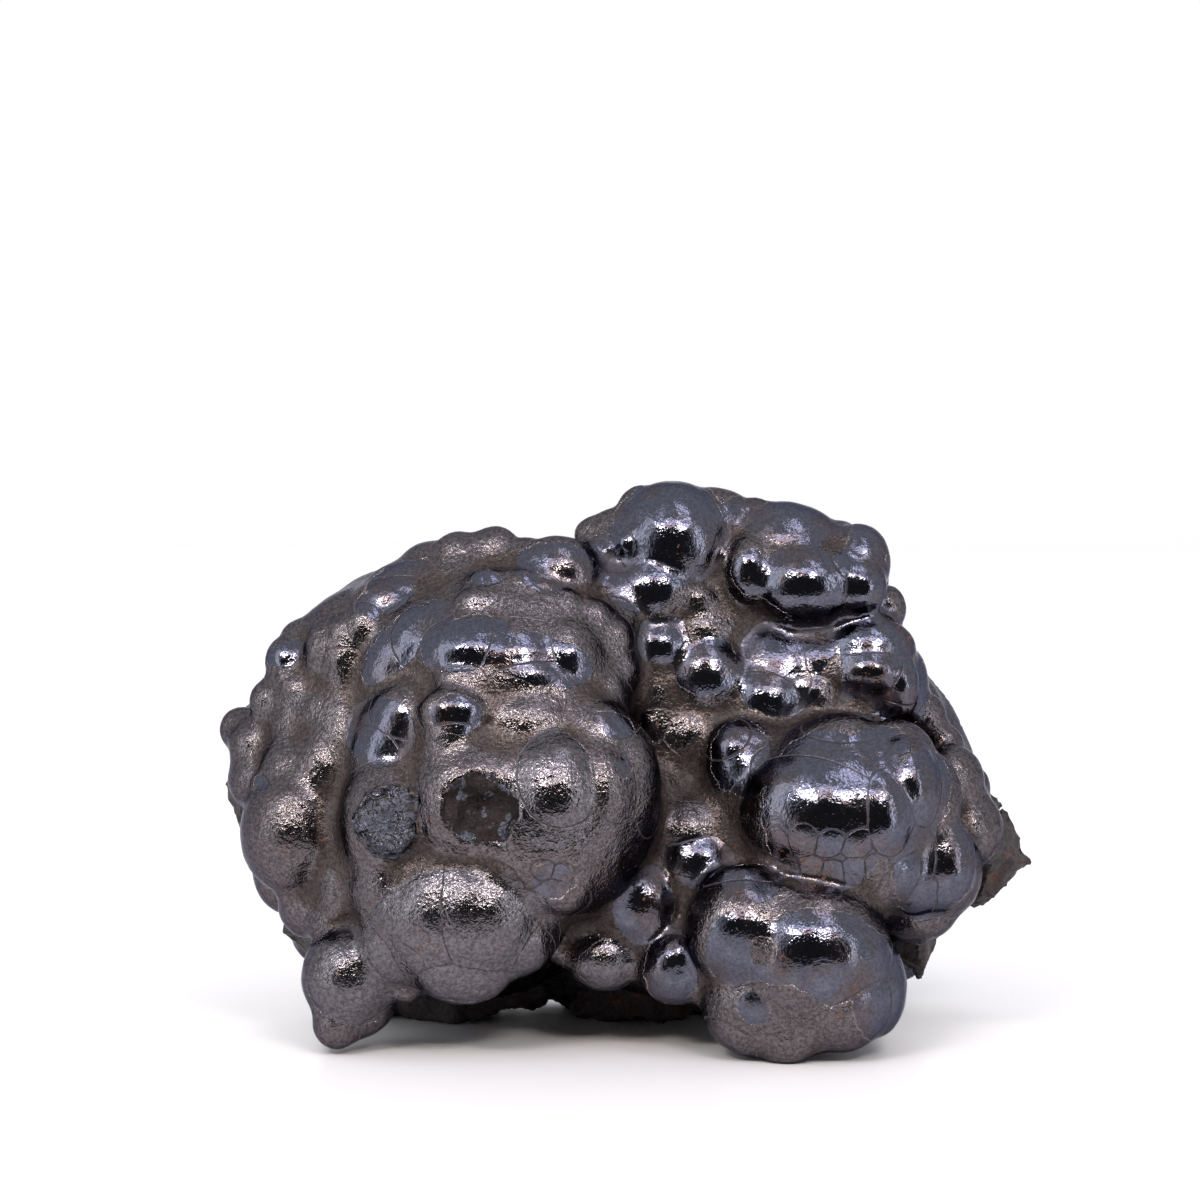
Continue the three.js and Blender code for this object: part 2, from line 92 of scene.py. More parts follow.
RIGHT_DOME = [
    [26.2, 26.2, 26.5, 13.2, 12.8, 13], [25, 27, 27.1, 11.5, 9, 10], [31.2, 26.6, 26.5, 4.6, 6.4, 5.2],
    [34.4, 30, 24.3, 4.8, 6.6, 5.2], [37.4, 28.4, 21.2, 4.4, 6.2, 5], [33, 33.4, 20.8, 5.6, 5.4, 5],
    [26.6, 33.6, 22.4, 6.4, 6, 5.6], [15.4, 31.8, 19.2, 6.4, 7, 6.4], [13.8, 34.4, 18.4, 4, 4, 4],
    [17.2, 32, 19.8, 3.6, 3.6, 3.6], [15.4, 29.8, 19.5, 3, 3, 2.8], [14.6, 24.6, 18.8, 5.4, 6.6, 5.8],
    [32.4, 20.4, 23.2, 4.6, 4.6, 4.6], [36.1, 20.8, 21.2, 4.3, 6.2, 4.7],
    [39.2, 20.8, 20.7, 4.4, 6.2, 4.8], [38.5, 19.5, 18, 5.8, 6, 7], [36, 14.4, 15.5, 5, 3.6, 5],
    [42.2, 25, 11.5, 4.6, 5, 5], [40.5, 31, 12.5, 4, 4.4, 5], [40.2, 34.4, 5.5, 2, 3.4, 3],
    [43.3, 29.7, 5, 2, 3, 3],
]
LOWER_RIGHT = [
    [20.5, 7, 27, 12, 9, 11], [23, 9.4, 30.2, 10, 9.4, 9.4], [14.4, 12.4, 28.4, 7.2, 7.4, 6.8],
    [14.4, 17.4, 25.6, 5, 3.2, 3.8], [19.4, 16, 26.4, 3, 2.2, 2.6], [17.6, 4, 26.8, 8.6, 6.6, 8],
    [19.8, -0.9, 25.5, 4.2, 4, 4.4], [26.4, 4.2, 27.4, 6.4, 6.8, 6.6], [30.8, 5.2, 24.6, 4.1, 6.4, 5.8],
    [14, 0, 24.5, 4.4, 3, 4.4, -30],
]
LOWER_MIDDLE = [
    [4, 15, 17, 12, 11, 14], [8.8, 20.2, 19.8, 5.8, 6, 5.6], [7.6, 24.4, 18.8, 5.4, 4.4, 5],
    [7.8, 26.4, 17, 4, 3.2, 3.4], [4.6, 29.8, 15, 1.9, 2.6], [1.4, 15.6, 20.8, 5.4, 5.6, 5.2],
    [-3, 8.8, 19, 5, 4.2, 4.6], [6, 7.9, 21.8, 4.8, 5, 4.8], [9.8, 15.8, 18.6, 4, 3.8, 4],
    [1.8, 9.6, 18.2, 2.6, 3.4, 3], [-8.2, 10, 16.5, 2.2, 2.2], [-1.6, 18.8, 19.5, 1.9, 9, 4, -38],
]
GREAT_DOME = [
    [-10.4, 26.8, 31, 14.2], [-9.2, 29.2, 31.7, 7.4, 8.2, 7.8], [-3.6, 29.6, 29.6, 5, 6.6, 6],
    [0, 30, 26.6, 4.2, 8, 6.2], [-3.6, 36, 26, 6.4, 5, 6, -40], [-13, 37.6, 27, 8, 5.6, 6.4],
    [-19.4, 28.4, 30.8, 8.6, 8.8, 8.4], [-29.8, 26.2, 27, 6.2, 8, 6.8], [-26.4, 35.4, 23.8, 8.6, 9, 9],
    [-22.6, 35, 27.2, 5, 6.5, 7], [-28.6, 33.8, 23.6, 6.2, 7.4, 5.4, -20],
    [-26, 33.4, 24.2, 5.6, 6.4, 5, -20], [-26.4, 37.8, 24, 6.2, 5.6, 5, -25],
    [-21.8, 39.4, 27.6, 4.4, 3.2, 3], [-21.8, 36.8, 27.8, 3, 2.4, 2.4], [-9.4, 18.6, 28.4, 5.6, 4.6, 5.2],
    [-14.6, 20.6, 28.8, 5.2, 4, 4.8],
]
BELLY = [
    [-21.2, 14.4, 28.8, 12, 10.6, 11.4], [-30.2, 18.4, 24.4, 4, 4.2, 4.4],
    [-19, 14.4, 29.3, 7.2, 6.8, 6.4], [-20.6, 8.6, 27, 7, 5.6, 5.6], [-13.8, 11.2, 26, 4.8, 4.4, 5, 30],
    [-12.8, 14, 25.4, 4.4, 4.4, 4.8], [-29, 10.6, 24.4, 5, 5.4, 5.4], [-27.8, 5, 20.5, 2, 1.9],
]
UPPER_LEFT = [
    [-26, 47.5, 14.5, 13.8, 10.5, 15], [-15.4, 45, 24.8, 11, 7.6, 9], [-19.4, 46.2, 24.6, 7.4, 6, 7],
    [-13.8, 43.6, 25.2, 7.6, 4.4, 6], [-8.2, 45.6, 23.2, 5.8, 6.4, 6.4],
    [-20.4, 43.6, 25.2, 3.8, 2.2, 2.6], [-10, 42, 24.4, 5.4, 3.4, 4.4], [-24, 45, 20.6, 9.5, 9.6, 9],
    [-27.2, 44.2, 19.8, 6.6, 8, 5.4, -24], [-24.6, 46.8, 20.7, 6, 6.6, 5, -28],
    [-22, 47.2, 21.4, 5.6, 6, 5, -32], [-28.4, 55.4, 12, 6, 3, 5, 22],
    [-29.6, 53.4, 14.5, 5.6, 3.2, 5, 12], [-15, 45, 22.5, 14, 13, 12], [-18, 54.5, 14.5, 11, 6, 8],
    [-9, 56.4, 16, 5.6, 5.2, 4.2], [-12.6, 58.6, 13.2, 2.7], [-7.2, 58.5, 13, 2.7],
    [-16.6, 59.6, 12, 3.2, 3.2], [-21, 59, 11.5, 3.4, 3.1], [-24.8, 57.5, 9.5, 4.2, 3.3, 3.8, 20],
    [-17.4, 55.6, 17.6, 2.6, 1.8, 2], [-18.4, 53, 20.2, 3.2, 2, 2.4], [-13.2, 55, 17.9, 2.2],
    [-10.6, 54.6, 17.6, 2, 1.6], [-10.4, 53, 18.8, 2, 1.6], [-7.8, 52.6, 18.6, 2.3],
    [-4.6, 51.2, 18.2, 2.6, 2.4], [-1.5, 47.5, 16.2, 5, 9, 9], [-1.9, 48.6, 18, 2.6, 2.8],
    [-1, 44.8, 17.8, 2.3, 3], [-3.8, 47, 18.5, 2.2, 5.6, 4, 25], [-6, 50.6, 18, 4, 1.8, 3, -30],
    [-2, 42, 20, 2, 4, 4, 20], [-5, 46, 17, 6, 7.5, 7],
]
LEFT_FLANK = [
    [-39.8, 31.5, 10, 9.2, 13.8, 13], [-34.5, 34, 18.4, 6, 12, 10], [-36.4, 50.2, 10.5, 6.4, 3.6, 6, 40],
    [-40.6, 48.4, 8, 3, 2.7, 3], [-35, 45, 13.5, 6, 7, 7], [-37.9, 47, 14, 2.6, 3.8, 3],
    [-35.3, 48.2, 15.2, 2.6, 3.6, 3], [-35.4, 45.2, 15.8, 2.6, 3.6, 3],
    [-32.8, 49.8, 15.8, 2.6, 3.4, 2.8], [-42.3, 46, 10.5, 3.1, 3.2, 3.4], [-42.2, 43.8, 11, 2, 1.7, 1.8],
    [-41, 42, 12.4, 2.6, 2.3], [-44.6, 40.8, 9.6, 2.7, 2.9], [-48.3, 37.3, 5, 2.8, 2.8],
    [-37.2, 39.2, 15.2, 4, 3.6, 3.6], [-41, 38, 12.8, 3.6, 3.2, 3.2], [-46.4, 35.4, 9, 3.6, 3.2],
    [-37.6, 32.4, 18.2, 4.2, 4.8, 4.2], [-42, 31.6, 15.6, 4, 4.4, 4], [-41.6, 35, 13.5, 3, 2.4],
    [-45.9, 30.6, 14.2, 1.4], [-46, 31, 10.5, 4, 4, 5], [-41.8, 24.6, 19.8, 6.7, 8, 8.2],
    [-40.6, 28.4, 18.4, 3.4, 2.2, 3], [-35.9, 17.8, 19.4, 2.8, 5, 4], [-39.6, 15.4, 15, 4.2, 4.2, 5],
    [-36.2, 13, 17.6, 4, 3.2, 3.6], [-34.8, 6.4, 22.5, 6, 6.4, 6.2], [-36.4, 0.6, 20.4, 3, 3.2, 3.6],
    [-33.6, 2.9, 19.6, 4.6, 4.1, 4.6, 27], [-33, 13, 14, 5, 8, 9], [-33.5, 23, 20.5, 6, 9, 9],
]
# Lobes that go on over the top and round both sides, out of sight from the front.
TOP_BEHIND = [
    [3, 60.5, 3, 6.5], [12, 59.6, 2, 6.5, 6.2, 7], [21, 58.6, 1.5, 6, 5.6], [28, 55.8, 1, 4.6, 5.2],
    [-1, 57, -4, 5.5, 5.4], [8, 58.6, -6, 6.2, 6], [17, 57.6, -7, 6.5, 5.8], [25.5, 54.2, -7, 6, 5.5],
    [3, 55, -13, 6.5, 6], [12, 55.5, -14, 6, 6], [21, 53, -15, 6, 6], [-9, 55.6, 5, 5.5, 5],
    [-16, 56, 4, 5.5, 5.8], [-23, 54.6, 3, 5.5, 5.2], [-30, 51, 4, 5.5, 5.6], [-12, 54, -4, 6, 6],
    [-20, 53.6, -5, 6, 5.6], [-27, 50.6, -4, 5.5, 5.6], [-34, 46.6, -1, 5, 5.6], [-8, 52, -12, 6, 6],
    [-16, 52, -13, 6, 5.2], [-24, 49, -12, 6, 6], [-31, 45, -10, 5.5, 6],
]
SIDES_BEHIND = [
    [-41.5, 42.4, 2, 3.8, 4.4], [-45.2, 36, 0, 4.5, 5], [-45, 28, 0, 4.4, 5.5], [-43, 20.4, 3, 4, 6],
    [-38.5, 13, 3, 3.8, 5], [-38.5, 40, -5, 5, 5.5], [-42, 32, -7, 5, 6], [-41, 23, -6, 5.2, 6],
    [-36.5, 14, -5, 5, 6], [-33.5, 6, -3, 5, 5.6], [-36, 35, -14, 5.5, 6], [-37.5, 26, -15, 5.5, 6],
    [-33.5, 16, -13, 6, 7], [32, 46.6, 2, 3.8, 4.4], [35, 39.4, 0, 4.3, 5], [38.6, 32.4, -1, 4.4, 5],
    [41.2, 25.6, -1, 4.6, 5.2], [38.6, 18.4, 1, 4.8, 5.2], [33.4, 11, 0, 4.6, 5.2],
    [29.6, 43.6, -7, 5.5, 6], [34, 35.6, -9, 6, 6], [36.6, 27, -10, 6, 6], [34, 18, -9, 6, 6.5],
    [27, 38, -17, 6, 6.4],
]
# Angular rock, in the same terms: the points along the broken rim, then the blocks under and behind.
RIM = [
    [45.4, 21.8, 8, 5.9, 7, 7, -14], [35.6, 11.4, 12, 4.5, 6.4, 9, 12], [-48.4, 30.6, 7, 2.8, 6, 5],
    [-40.2, 13.4, 11, 3.6, 8, 8, 22], [42, 27, 4, 6, 7.5, 12, 10],
]
BLOCKS = [
    [-21, 5, 1, 13.5, 9, 15], [2.5, 5, 1, 12, 9, 14, 15], [20, 8, 3, 14, 11, 18, -10],
    [-24, 20, -8, 15, 14, 11, 20], [8, 24, -10, 17, 16, 11], [26, 26, -9, 13, 15, 11, 30],
    [-12, 42, -10, 17, 11, 10, -12], [13, 47, -11, 14, 9, 10, 8], [-1, 50, -7, 8, 9, 12],
    [-8, 8, -7, 9, 8, 12], [41.5, 21.6, 5, 8.6, 7, 12, -14],
]
# Round hollows underneath, taken out of it, in the same terms.
HOLLOWS = [
    [-12.5, -3, 10, 10, 7, 30], [10, -3, -13, 8, 6, 22],
]
# Pits in the great dome, where small lobes have broken out of it, in the same terms.
PITS = [
    [-30, 25.8, 28.4, 4.6, 5.2, 2], [-18.5, 27, 33, 4.7, 5.3, 2.4],
]
# Faces of the broken back: the middle of each, then the way it faces, as a heading round from +X and a
# rise. The last few are only as wide as stated, and leave ledges along their edges.
BREAKS = [
    [0, 27, 30, 91, 5], [-27, 21, 25, 124, -8], [30, 20, 25, 62, 3], [41, 15, 20, 40, -14],
    [6, 25, 22, 84, -16], [-2, 23, 6, 97, -34], [-12, 21, 50, 98, 36], [14, 20, 56, 80, 30],
    [-34, 17.5, 50, 101, 10, 46], [30, 18.5, 2, 76, -7, 42], [10, 20.5, 68, 87, 9, 34],
    [-16, 22.5, 6, 104, -14, 24],
]
FLOOR = [0, 0, 0, 0, -90]

# Where a dull film lies over the lobes and where they are bare, in the order that it was laid down and lost.
# In each row stand: across and up to the middle of an oval patch, half its width, half its height, its turn
# in degrees, and whether the patch is bare.
BARE, FILM = 1, -1
COVER = [
    [5.5, 61.9, 7.5, 6.8, 0, BARE], [1.5, 54.8, 4.2, 3, 0, BARE], [-3.2, 58.5, 2.8, 3.2, 0, BARE],
    [21.5, 56.2, 5.2, 4.5, 0, BARE], [15.2, 57, 2.2, 3, 0, BARE], [19.6, 63.8, 7.8, 3, -10, BARE],
    [28.8, 56, 4.2, 4, 0, BARE], [30, 60.4, 2.8, 2.8, 0, BARE], [4.2, 48.5, 3.4, 3.2, 0, BARE],
    [9.9, 45.2, 4.1, 3.8, 0, BARE], [19, 45, 5.8, 6.2, 0, BARE], [30.5, 45.8, 6.2, 7.5, 0, BARE],
    [26.2, 51.5, 6.2, 2.5, 0, BARE], [34.6, 42.2, 3, 4.5, 0, BARE], [25.5, 43, 1.4, 3.8, -12, FILM],
    [27.5, 40, 3.2, 1, 0, FILM], [24.8, 27, 8, 10.2, 0, BARE], [32.8, 27.5, 4.2, 6.5, 0, BARE],
    [37.1, 29.8, 3.2, 5.2, 0, BARE], [31.5, 35.4, 3.8, 2.2, 0, BARE], [14.2, 33.8, 4, 4.8, 0, BARE],
    [37.1, 19.1, 4, 5.8, 0, BARE], [40.2, 20.8, 3.5, 5.2, 0, BARE], [15, 18, 4.2, 2.5, 0, BARE],
    [24, 8.8, 8.2, 6.2, 0, BARE], [31.5, 4.8, 3.8, 6.8, 0, BARE], [14, 9.8, 4.2, 5, 0, BARE],
    [17, 9.8, 1.6, 1.9, 20, FILM], [17.8, 1.5, 7.5, 4.1, -6, FILM], [15.8, 2.4, 2, 2.2, 0, BARE],
    [9, 20.8, 4.4, 3.4, 0, BARE], [1.9, 15.4, 3.8, 5, 0, BARE], [5.5, 7.5, 3.4, 4.8, 0, BARE],
    [-30.9, 37, 4.4, 4.5, 0, BARE], [-21.6, 39.2, 3.5, 2.4, -8, BARE], [-1.8, 37.9, 2.8, 1.5, -25, BARE],
    [-0.6, 32.5, 1, 1.4, 0, BARE], [-9.4, 18.5, 2.5, 2.4, 0, BARE], [-34.2, 6.5, 6.2, 6.2, 0, BARE],
    [-20.4, 11.6, 12, 8.2, 0, BARE], [-9.4, 29.8, 5.2, 7.5, 0, BARE], [-2.5, 7.9, 3.8, 3, 0, BARE],
    [-9.4, 57.6, 4.5, 3.5, 0, BARE], [-17.5, 56, 1.9, 1.1, 0, BARE], [-18.5, 53.1, 2.2, 1, 0, BARE],
    [-20.2, 48.1, 5.8, 3.4, 14, BARE], [-11, 46, 6.8, 3.2, -12, BARE], [-30.5, 46.6, 1.9, 4.5, -28, BARE],
    [-27.9, 48.5, 2.2, 5, -32, BARE], [-24.8, 50.4, 2.2, 3.8, -45, BARE],
    [-28.5, 56.4, 4.5, 1.6, 18, BARE], [-30.5, 53.5, 3.8, 1.9, 20, BARE],
    [-42.6, 46.9, 2.8, 1.6, 20, BARE], [-45.9, 30.6, 1, 0.9, 0, BARE],
]
DEEPEST_FILM = 3
FRONT_ENDS = -2  # how proud of the elevation the sides of the stone turn out of sight

# Where the bare faces are satin instead of mirror-bright, in the same terms but for the last.
SATIN = [
    [-20.4, 11.6, 12, 8.2, 0], [-9.4, 29.8, 5.2, 7.5, 0], [-2.5, 7.9, 3.8, 3, 0], [-34.2, 6.5, 6.2, 6.2, 0],
    [-41, 23, 6, 6, 0], [-18.5, 53.1, 2.8, 1.8, 0],
]

LOBES = (
    CORE + CROWN + SHOULDER + RIGHT_DOME + LOWER_RIGHT + LOWER_MIDDLE + GREAT_DOME + BELLY + UPPER_LEFT
    + LEFT_FLANK + TOP_BEHIND + SIDES_BEHIND
)
WHOLE = 240  # as wide as a broken face is that goes right through the stone
TO_MIDDLE = Matrix.Translation((-MIDDLE[0], -MIDDLE[1], 0))
UPRIGHT = TO_MIDDLE @ Matrix.Rotation(math.pi / 2 - LEAN, 4, "X")


def stand(row):
    """The matrix that stretches a form of unit radius and stands it where its row says, in millimetres."""
    across, up, front, wide = row[:4]
    tall = row[4] if len(row) > 4 else wide
    deep = row[5] if len(row) > 5 else math.sqrt(wide * tall)
    turn = math.radians(row[6]) if len(row) > 6 else 0
    proud = front - deep
    taper = 1 - proud / EYE_DISTANCE
    place = (EYE_ACROSS + (across - EYE_ACROSS) * taper, EYE_UP + (up - EYE_UP) * taper, proud)
    stretch = Matrix.Diagonal((wide * taper, tall * taper, deep * taper, 1))
    return UPRIGHT @ Matrix.Translation(place) @ Matrix.Rotation(turn, 4, "Z") @ stretch


def beyond(face):
    """The matrix that stands a cube of unit half width on the outside of a broken face."""
    x, y, z, heading, rise = face[:5]
    half = (face[5] if len(face) > 5 else WHOLE) / 2
    turn = Matrix.Rotation(math.radians(heading), 4, "Z") @ Matrix.Rotation(math.radians(-rise), 4, "Y")
    stretch = Matrix.Translation((half, 0, 0)) @ Matrix.Diagonal((half, half, half, 1))
    return TO_MIDDLE @ Matrix.Translation((x, y, z)) @ turn @ stretch


# ---------------------------------------------------------------------------------------------------------
# The stone's body, in hematite and the rock it grew from. Every lobe, block and point is set in place and
# they are run together into one closed skin; then the back and the foot are broken off along their faces.
# ---------------------------------------------------------------------------------------------------------
FIRST_SKIN = 0.9  # millimetres between the skin's points while the forms are run together
FINE_SKIN = 0.62  # and once it is finished
WIDE_LOBE = 8  # millimetres of half width, past which a lobe is drawn more finely
CUT_TOLERANCE = 1e-7  # metres
# Turns an icosahedron from a corner on top to an edge on top, as its faces are set out further on.
EDGE_UP = Matrix.Rotation(math.radians(-31.7175), 4, "X") @ Matrix.Rotation(math.radians(-90), 4, "Z")


def skinned(body, spacing):
    """Draws one closed skin of evenly spaced points over a body of forms that run into each other."""
    mesh = bpy.data.meshes.new("stone_in_work")
    body.to_mesh(mesh)
    body.free()
    work = bpy.data.objects.new("stone_in_work", mesh)
    bpy.context.scene.collection.objects.link(work)
    skin = work.modifiers.new("skin", "REMESH")
    skin.mode = "VOXEL"
    skin.voxel_size = spacing * MILLIMETRE
    skin.use_smooth_shade = True
    done = bpy.data.meshes.new_from_object(work.evaluated_get(bpy.context.evaluated_depsgraph_get()))
    bpy.data.objects.remove(work)
    bpy.data.meshes.remove(mesh)
    return done


body = bmesh.new()
to_metres = Matrix.Scale(MILLIMETRE, 4)
for row in LOBES:
    fineness = 4 if row[3] > WIDE_LOBE else 3
    bmesh.ops.create_icosphere(body, subdivisions=fineness, radius=1, matrix=to_metres @ stand(row))
for row in RIM:
    bmesh.ops.create_uvsphere(body, u_segments=4, v_segments=2, radius=1, matrix=to_metres @ stand(row))
for row in BLOCKS:
    bmesh.ops.create_icosphere(body, subdivisions=1, radius=1, matrix=to_metres @ stand(row) @ EDGE_UP)
rough_skin = skinned(body, FIRST_SKIN)

body = bmesh.new()
body.from_mesh(rough_skin)
for face in [face for face in BREAKS + [FLOOR] if len(face) == 5]:
    cube = beyond(face)
    outward = cube.to_3x3() @ Vector((1, 0, 0))
    bmesh.ops.bisect_plane(
        body, geom=body.verts[:] + body.edges[:] + body.faces[:], dist=CUT_TOLERANCE, clear_outer=True,
        plane_co=(cube.translation - outward) * MILLIMETRE, plane_no=outward.normalized(),
    )
    bmesh.ops.holes_fill(body, edges=[edge for edge in body.edges if edge.is_boundary], sides=0)
skin = skinned(body, FIRST_SKIN)

# The skin is then drawn onto the exact forms. Where two lobes meet, the skin turns through a small round
# instead of a sharp crease, and where the film lies it fills the angle much wider.
BARE_FILLET = 0.14  # millimetres of that round on bare faces
FILM_FILLET = 0.45  # and under the film
FILM_THICKENS = 1.6  # over this many millimetres in from its edge
UNSEEN_FILM = 0.5  # how thick it lies out of sight from the front, as a share of its thickest
FIRST_ROUNDS = 4  # of moving the skin's points onto the forms, before its points are set finer,
LAST_ROUNDS = 3  # and after
LONGEST_STEP = 0.8  # millimetres that a point moves in one round
LEAST_SLOPE = 0.6  # of the distance from the forms, which is gentler where two of them meet
CELL_ROUND = 2.4  # a cell's radius against half its width,
CELLED_FACE = 11.5  # and the radius of the faces that the cells crowd on
FARTHEST_FRONT = 34.0  # farther out than any lobe, where the search for a cell's seat begins,
SIGHTINGS = 25  # and how many steps it takes
CHUNK = 4000  # points worked on at once
ICOSAHEDRON_DEPTH = 0.7947  # from the middle of an icosahedron to its faces, where its corners are at 1
OCTAHEDRON_DEPTH = 1 / math.sqrt(3)
GOLDEN = (1 + math.sqrt(5)) / 2
SIGNS = (-1, 1)
EIGHT_FACES = [(a, b, c) for a in SIGNS for b in SIGNS for c in SIGNS]
TWELVE_FACES = [(a / GOLDEN, 0, b * GOLDEN) for a in SIGNS for b in SIGNS]
TWELVE_FACES += [(c, a, b) for a, b, c in TWELVE_FACES] + [(b, c, a) for a, b, c in TWELVE_FACES]
SIX_FACES = [(a, 0, 0) for a in SIGNS] + [(0, a, 0) for a in SIGNS] + [(0, 0, a) for a in SIGNS]


def unstretched(frames):
    """Where forms stand, and the matrices that turn and stretch each one back to unit size."""
    frames = np.array(frames)
    return frames[:, None, :3, 3].astype(np.float32), np.linalg.inv(frames[:, :3, :3]).astype(np.float32)


def flat_sided(frames, faces):
    """Blocks of like form: where they stand, which ways their faces look, and how far out those are."""
    middles, unstretch = unstretched(frames)
    outward = np.array(faces, np.float32) @ unstretch
    reach = np.linalg.norm(outward, axis=2, keepdims=True)
    return middles, outward / reach, 1 / reach


def scaled(faces, depth):
    """Faces that stand a given depth from the middle of a unit form."""
    return [Vector(face).normalized() / depth for face in faces]


lobe_frames = [stand(row) for row in LOBES]
lobe_forms = unstretched(lobe_frames)
hollow_forms = unstretched([stand(row) for row in HOLLOWS + PITS])
rock_forms = [
    flat_sided([stand(row) for row in BLOCKS], scaled(EIGHT_FACES + TWELVE_FACES, ICOSAHEDRON_DEPTH)),
    flat_sided([stand(row) for row in RIM], scaled(EIGHT_FACES, OCTAHEDRON_DEPTH)),
]
lost_forms = [flat_sided([beyond(face) for face in BREAKS + [FLOOR]], SIX_FACES)]


def lengths(vectors):
    """The length of each vector."""
    return np.sqrt(np.einsum("rni,rni->rn", vectors, vectors))


def from_round(points, middles, unstretch):
    """How far each point is from each stretched sphere, less than zero inside, and the way out."""
    unit = (points - middles) @ unstretch.transpose(0, 2, 1)
    reach = lengths(unit)
    outward = unit @ unstretch
    slope = lengths(outward)
    return reach * (reach - 1) / slope, outward / slope[:, :, None]


def from_flat(points, kinds):
    """How far each point is from each flat-sided block, less than zero inside, and the way out."""
    distances = []
    ways = []
    for middles, outward, depth in kinds:
        heights = outward @ (points - middles).transpose(0, 2, 1) - depth
        distances.append(heights.max(axis=1))
        ways.append(np.take_along_axis(outward, heights.argmax(axis=1)[:, :, None], axis=1))
    return np.concatenate(distances), np.concatenate(ways)


def nearest(distances, ways):
    """The least distance at each point, and the way that goes with it."""
    first = distances.argmin(axis=0)
    each = np.arange(distances.shape[1])
    return distances[first, each], ways[first, each]


def on_elevation(points):
    """Where points are seen on the front elevation: across, up and proud of it, in millimetres."""
    x = points[:, 0] + MIDDLE[0]
    y = points[:, 1] + MIDDLE[1]
    proud = points[:, 2] * math.sin(LEAN) - y * math.cos(LEAN)
    up = y * math.sin(LEAN) + points[:, 2] * math.cos(LEAN)
    taper = 1 - proud / EYE_DISTANCE
    return EYE_ACROSS + (x - EYE_ACROSS) / taper, EYE_UP + (up - EYE_UP) / taper, proud


def inside(across, up, row):
    """How far inside an oval each place on the elevation is, in millimetres."""
    middle_across, middle_up, wide, tall, turn = row[:5]
    turn = math.radians(turn)
    along = (across - middle_across) * math.cos(turn) + (up - middle_up) * math.sin(turn)
    over = (up - middle_up) * math.cos(turn) - (across - middle_across) * math.sin(turn)
    reach = np.hypot(along / wide, over / tall)
    slope = np.maximum(np.hypot(along / wide**2, over / tall**2), 1e-6)
    return reach * (1 - reach) / slope


def bared(points):
    """How far each point is inside a bare patch, or less than zero how far under the film, and whether the
    point is seen from the front at all."""
    across, up, proud = on_elevation(points)
    bare = np.full(len(points), -DEEPEST_FILM, np.float32)
    for row in COVER:
        oval = inside(across, up, row)
        bare = np.maximum(bare, oval) if row[5] == BARE else np.minimum(bare, -oval)
    return bare, proud > FRONT_ENDS


def measured(points):
    """How far each point is from the stone's skin and the way out, how far it is from each lobe and the way
    out of that, and how far it is from the lobes run together."""
    lobes, lobe_ways = from_round(points, *lobe_forms)
    bare, seen = bared(points)
    film = np.where(seen, np.clip(-bare / FILM_THICKENS, 0, 1), UNSEEN_FILM)
    fillet = BARE_FILLET + (FILM_FILLET - BARE_FILLET) * film
    least = lobes.min(axis=0)
    weights = np.exp((least - lobes) / fillet)
    total = weights.sum(axis=0)
    grown = least - fillet * np.log(total)
    grown_way = np.einsum("rn,rni->ni", weights, lobe_ways) / total[:, None]
    rock, rock_way = nearest(*from_flat(points, rock_forms))
    lost, lost_way = nearest(*from_flat(points, lost_forms))
    hollow, hollow_way = nearest(*from_round(points, *hollow_forms))
    body, body_way = nearest(np.stack([grown, rock]), np.stack([grown_way, rock_way]))
    inward, way = nearest(np.stack([-body, lost, hollow]), np.stack([-body_way, lost_way, hollow_way]))
    return -inward, -way, lobes, lobe_ways, grown


def points_of(mesh):
    """A mesh's points, in millimetres."""
    points = np.empty(len(mesh.vertices) * 3, np.float32)
    mesh.vertices.foreach_get("co", points)
    return points.reshape(-1, 3) / MILLIMETRE


def put_points(mesh, points):
    """Moves a mesh's points to where they are given, in millimetres."""
    mesh.vertices.foreach_set("co", (points * MILLIMETRE).ravel())
    mesh.update()


def drawn_on(mesh, rounds):
    """Draws a skin onto the stone's exact form."""
    points = points_of(mesh)
    for _ in range(rounds):
        for start in range(0, len(points), CHUNK):
            some = points[start:start + CHUNK]
            distance, way = measured(some)[:2]
            slope = np.maximum(np.linalg.norm(way, axis=1), LEAST_SLOPE)
            some -= way * (np.clip(distance, -LONGEST_STEP, LONGEST_STEP) / slope**2)[:, None]
    put_points(mesh, points)


# The smallest lobes are cells that crowd on the faces of the others and barely swell from them. They are
# seated where they are seen on the elevation: in each row across, up and half the cell's width.
CELLS = [
    [18.8, 22.9, 2.1], [21.9, 23.2, 2.2], [25.2, 22.9, 2.2], [28.6, 23, 2.2], [20.4, 19.8, 2],
    [23, 20, 2], [25.6, 19.5, 2], [28.2, 19.8, 2], [30.9, 20.2, 2], [24.6, 17.2, 2],
    [28.4, 17, 2], [33, 17, 2], [37.4, 16.2, 2], [27.6, 2.2, 3], [31.8, 5, 2.4],
    [-10.6, 19.8, 1.6], [-8.2, 19.4, 1.6], [-9.4, 17.4, 1.6],
    [-19.2, 13.2, 3.9], [-26.2, 12.8, 3.3], [-30, 18.4, 2.6], [-24.6, 19, 3.2], [-16, 17.4, 3.4],
    [-11.8, 13, 2.4], [-14.4, 8.8, 2.2], [-27.6, 8.6, 2.4], [-31, 13.4, 2.4],
]
across, up, half_widths = np.array(CELLS).T
proud = np.full(len(CELLS), FARTHEST_FRONT)
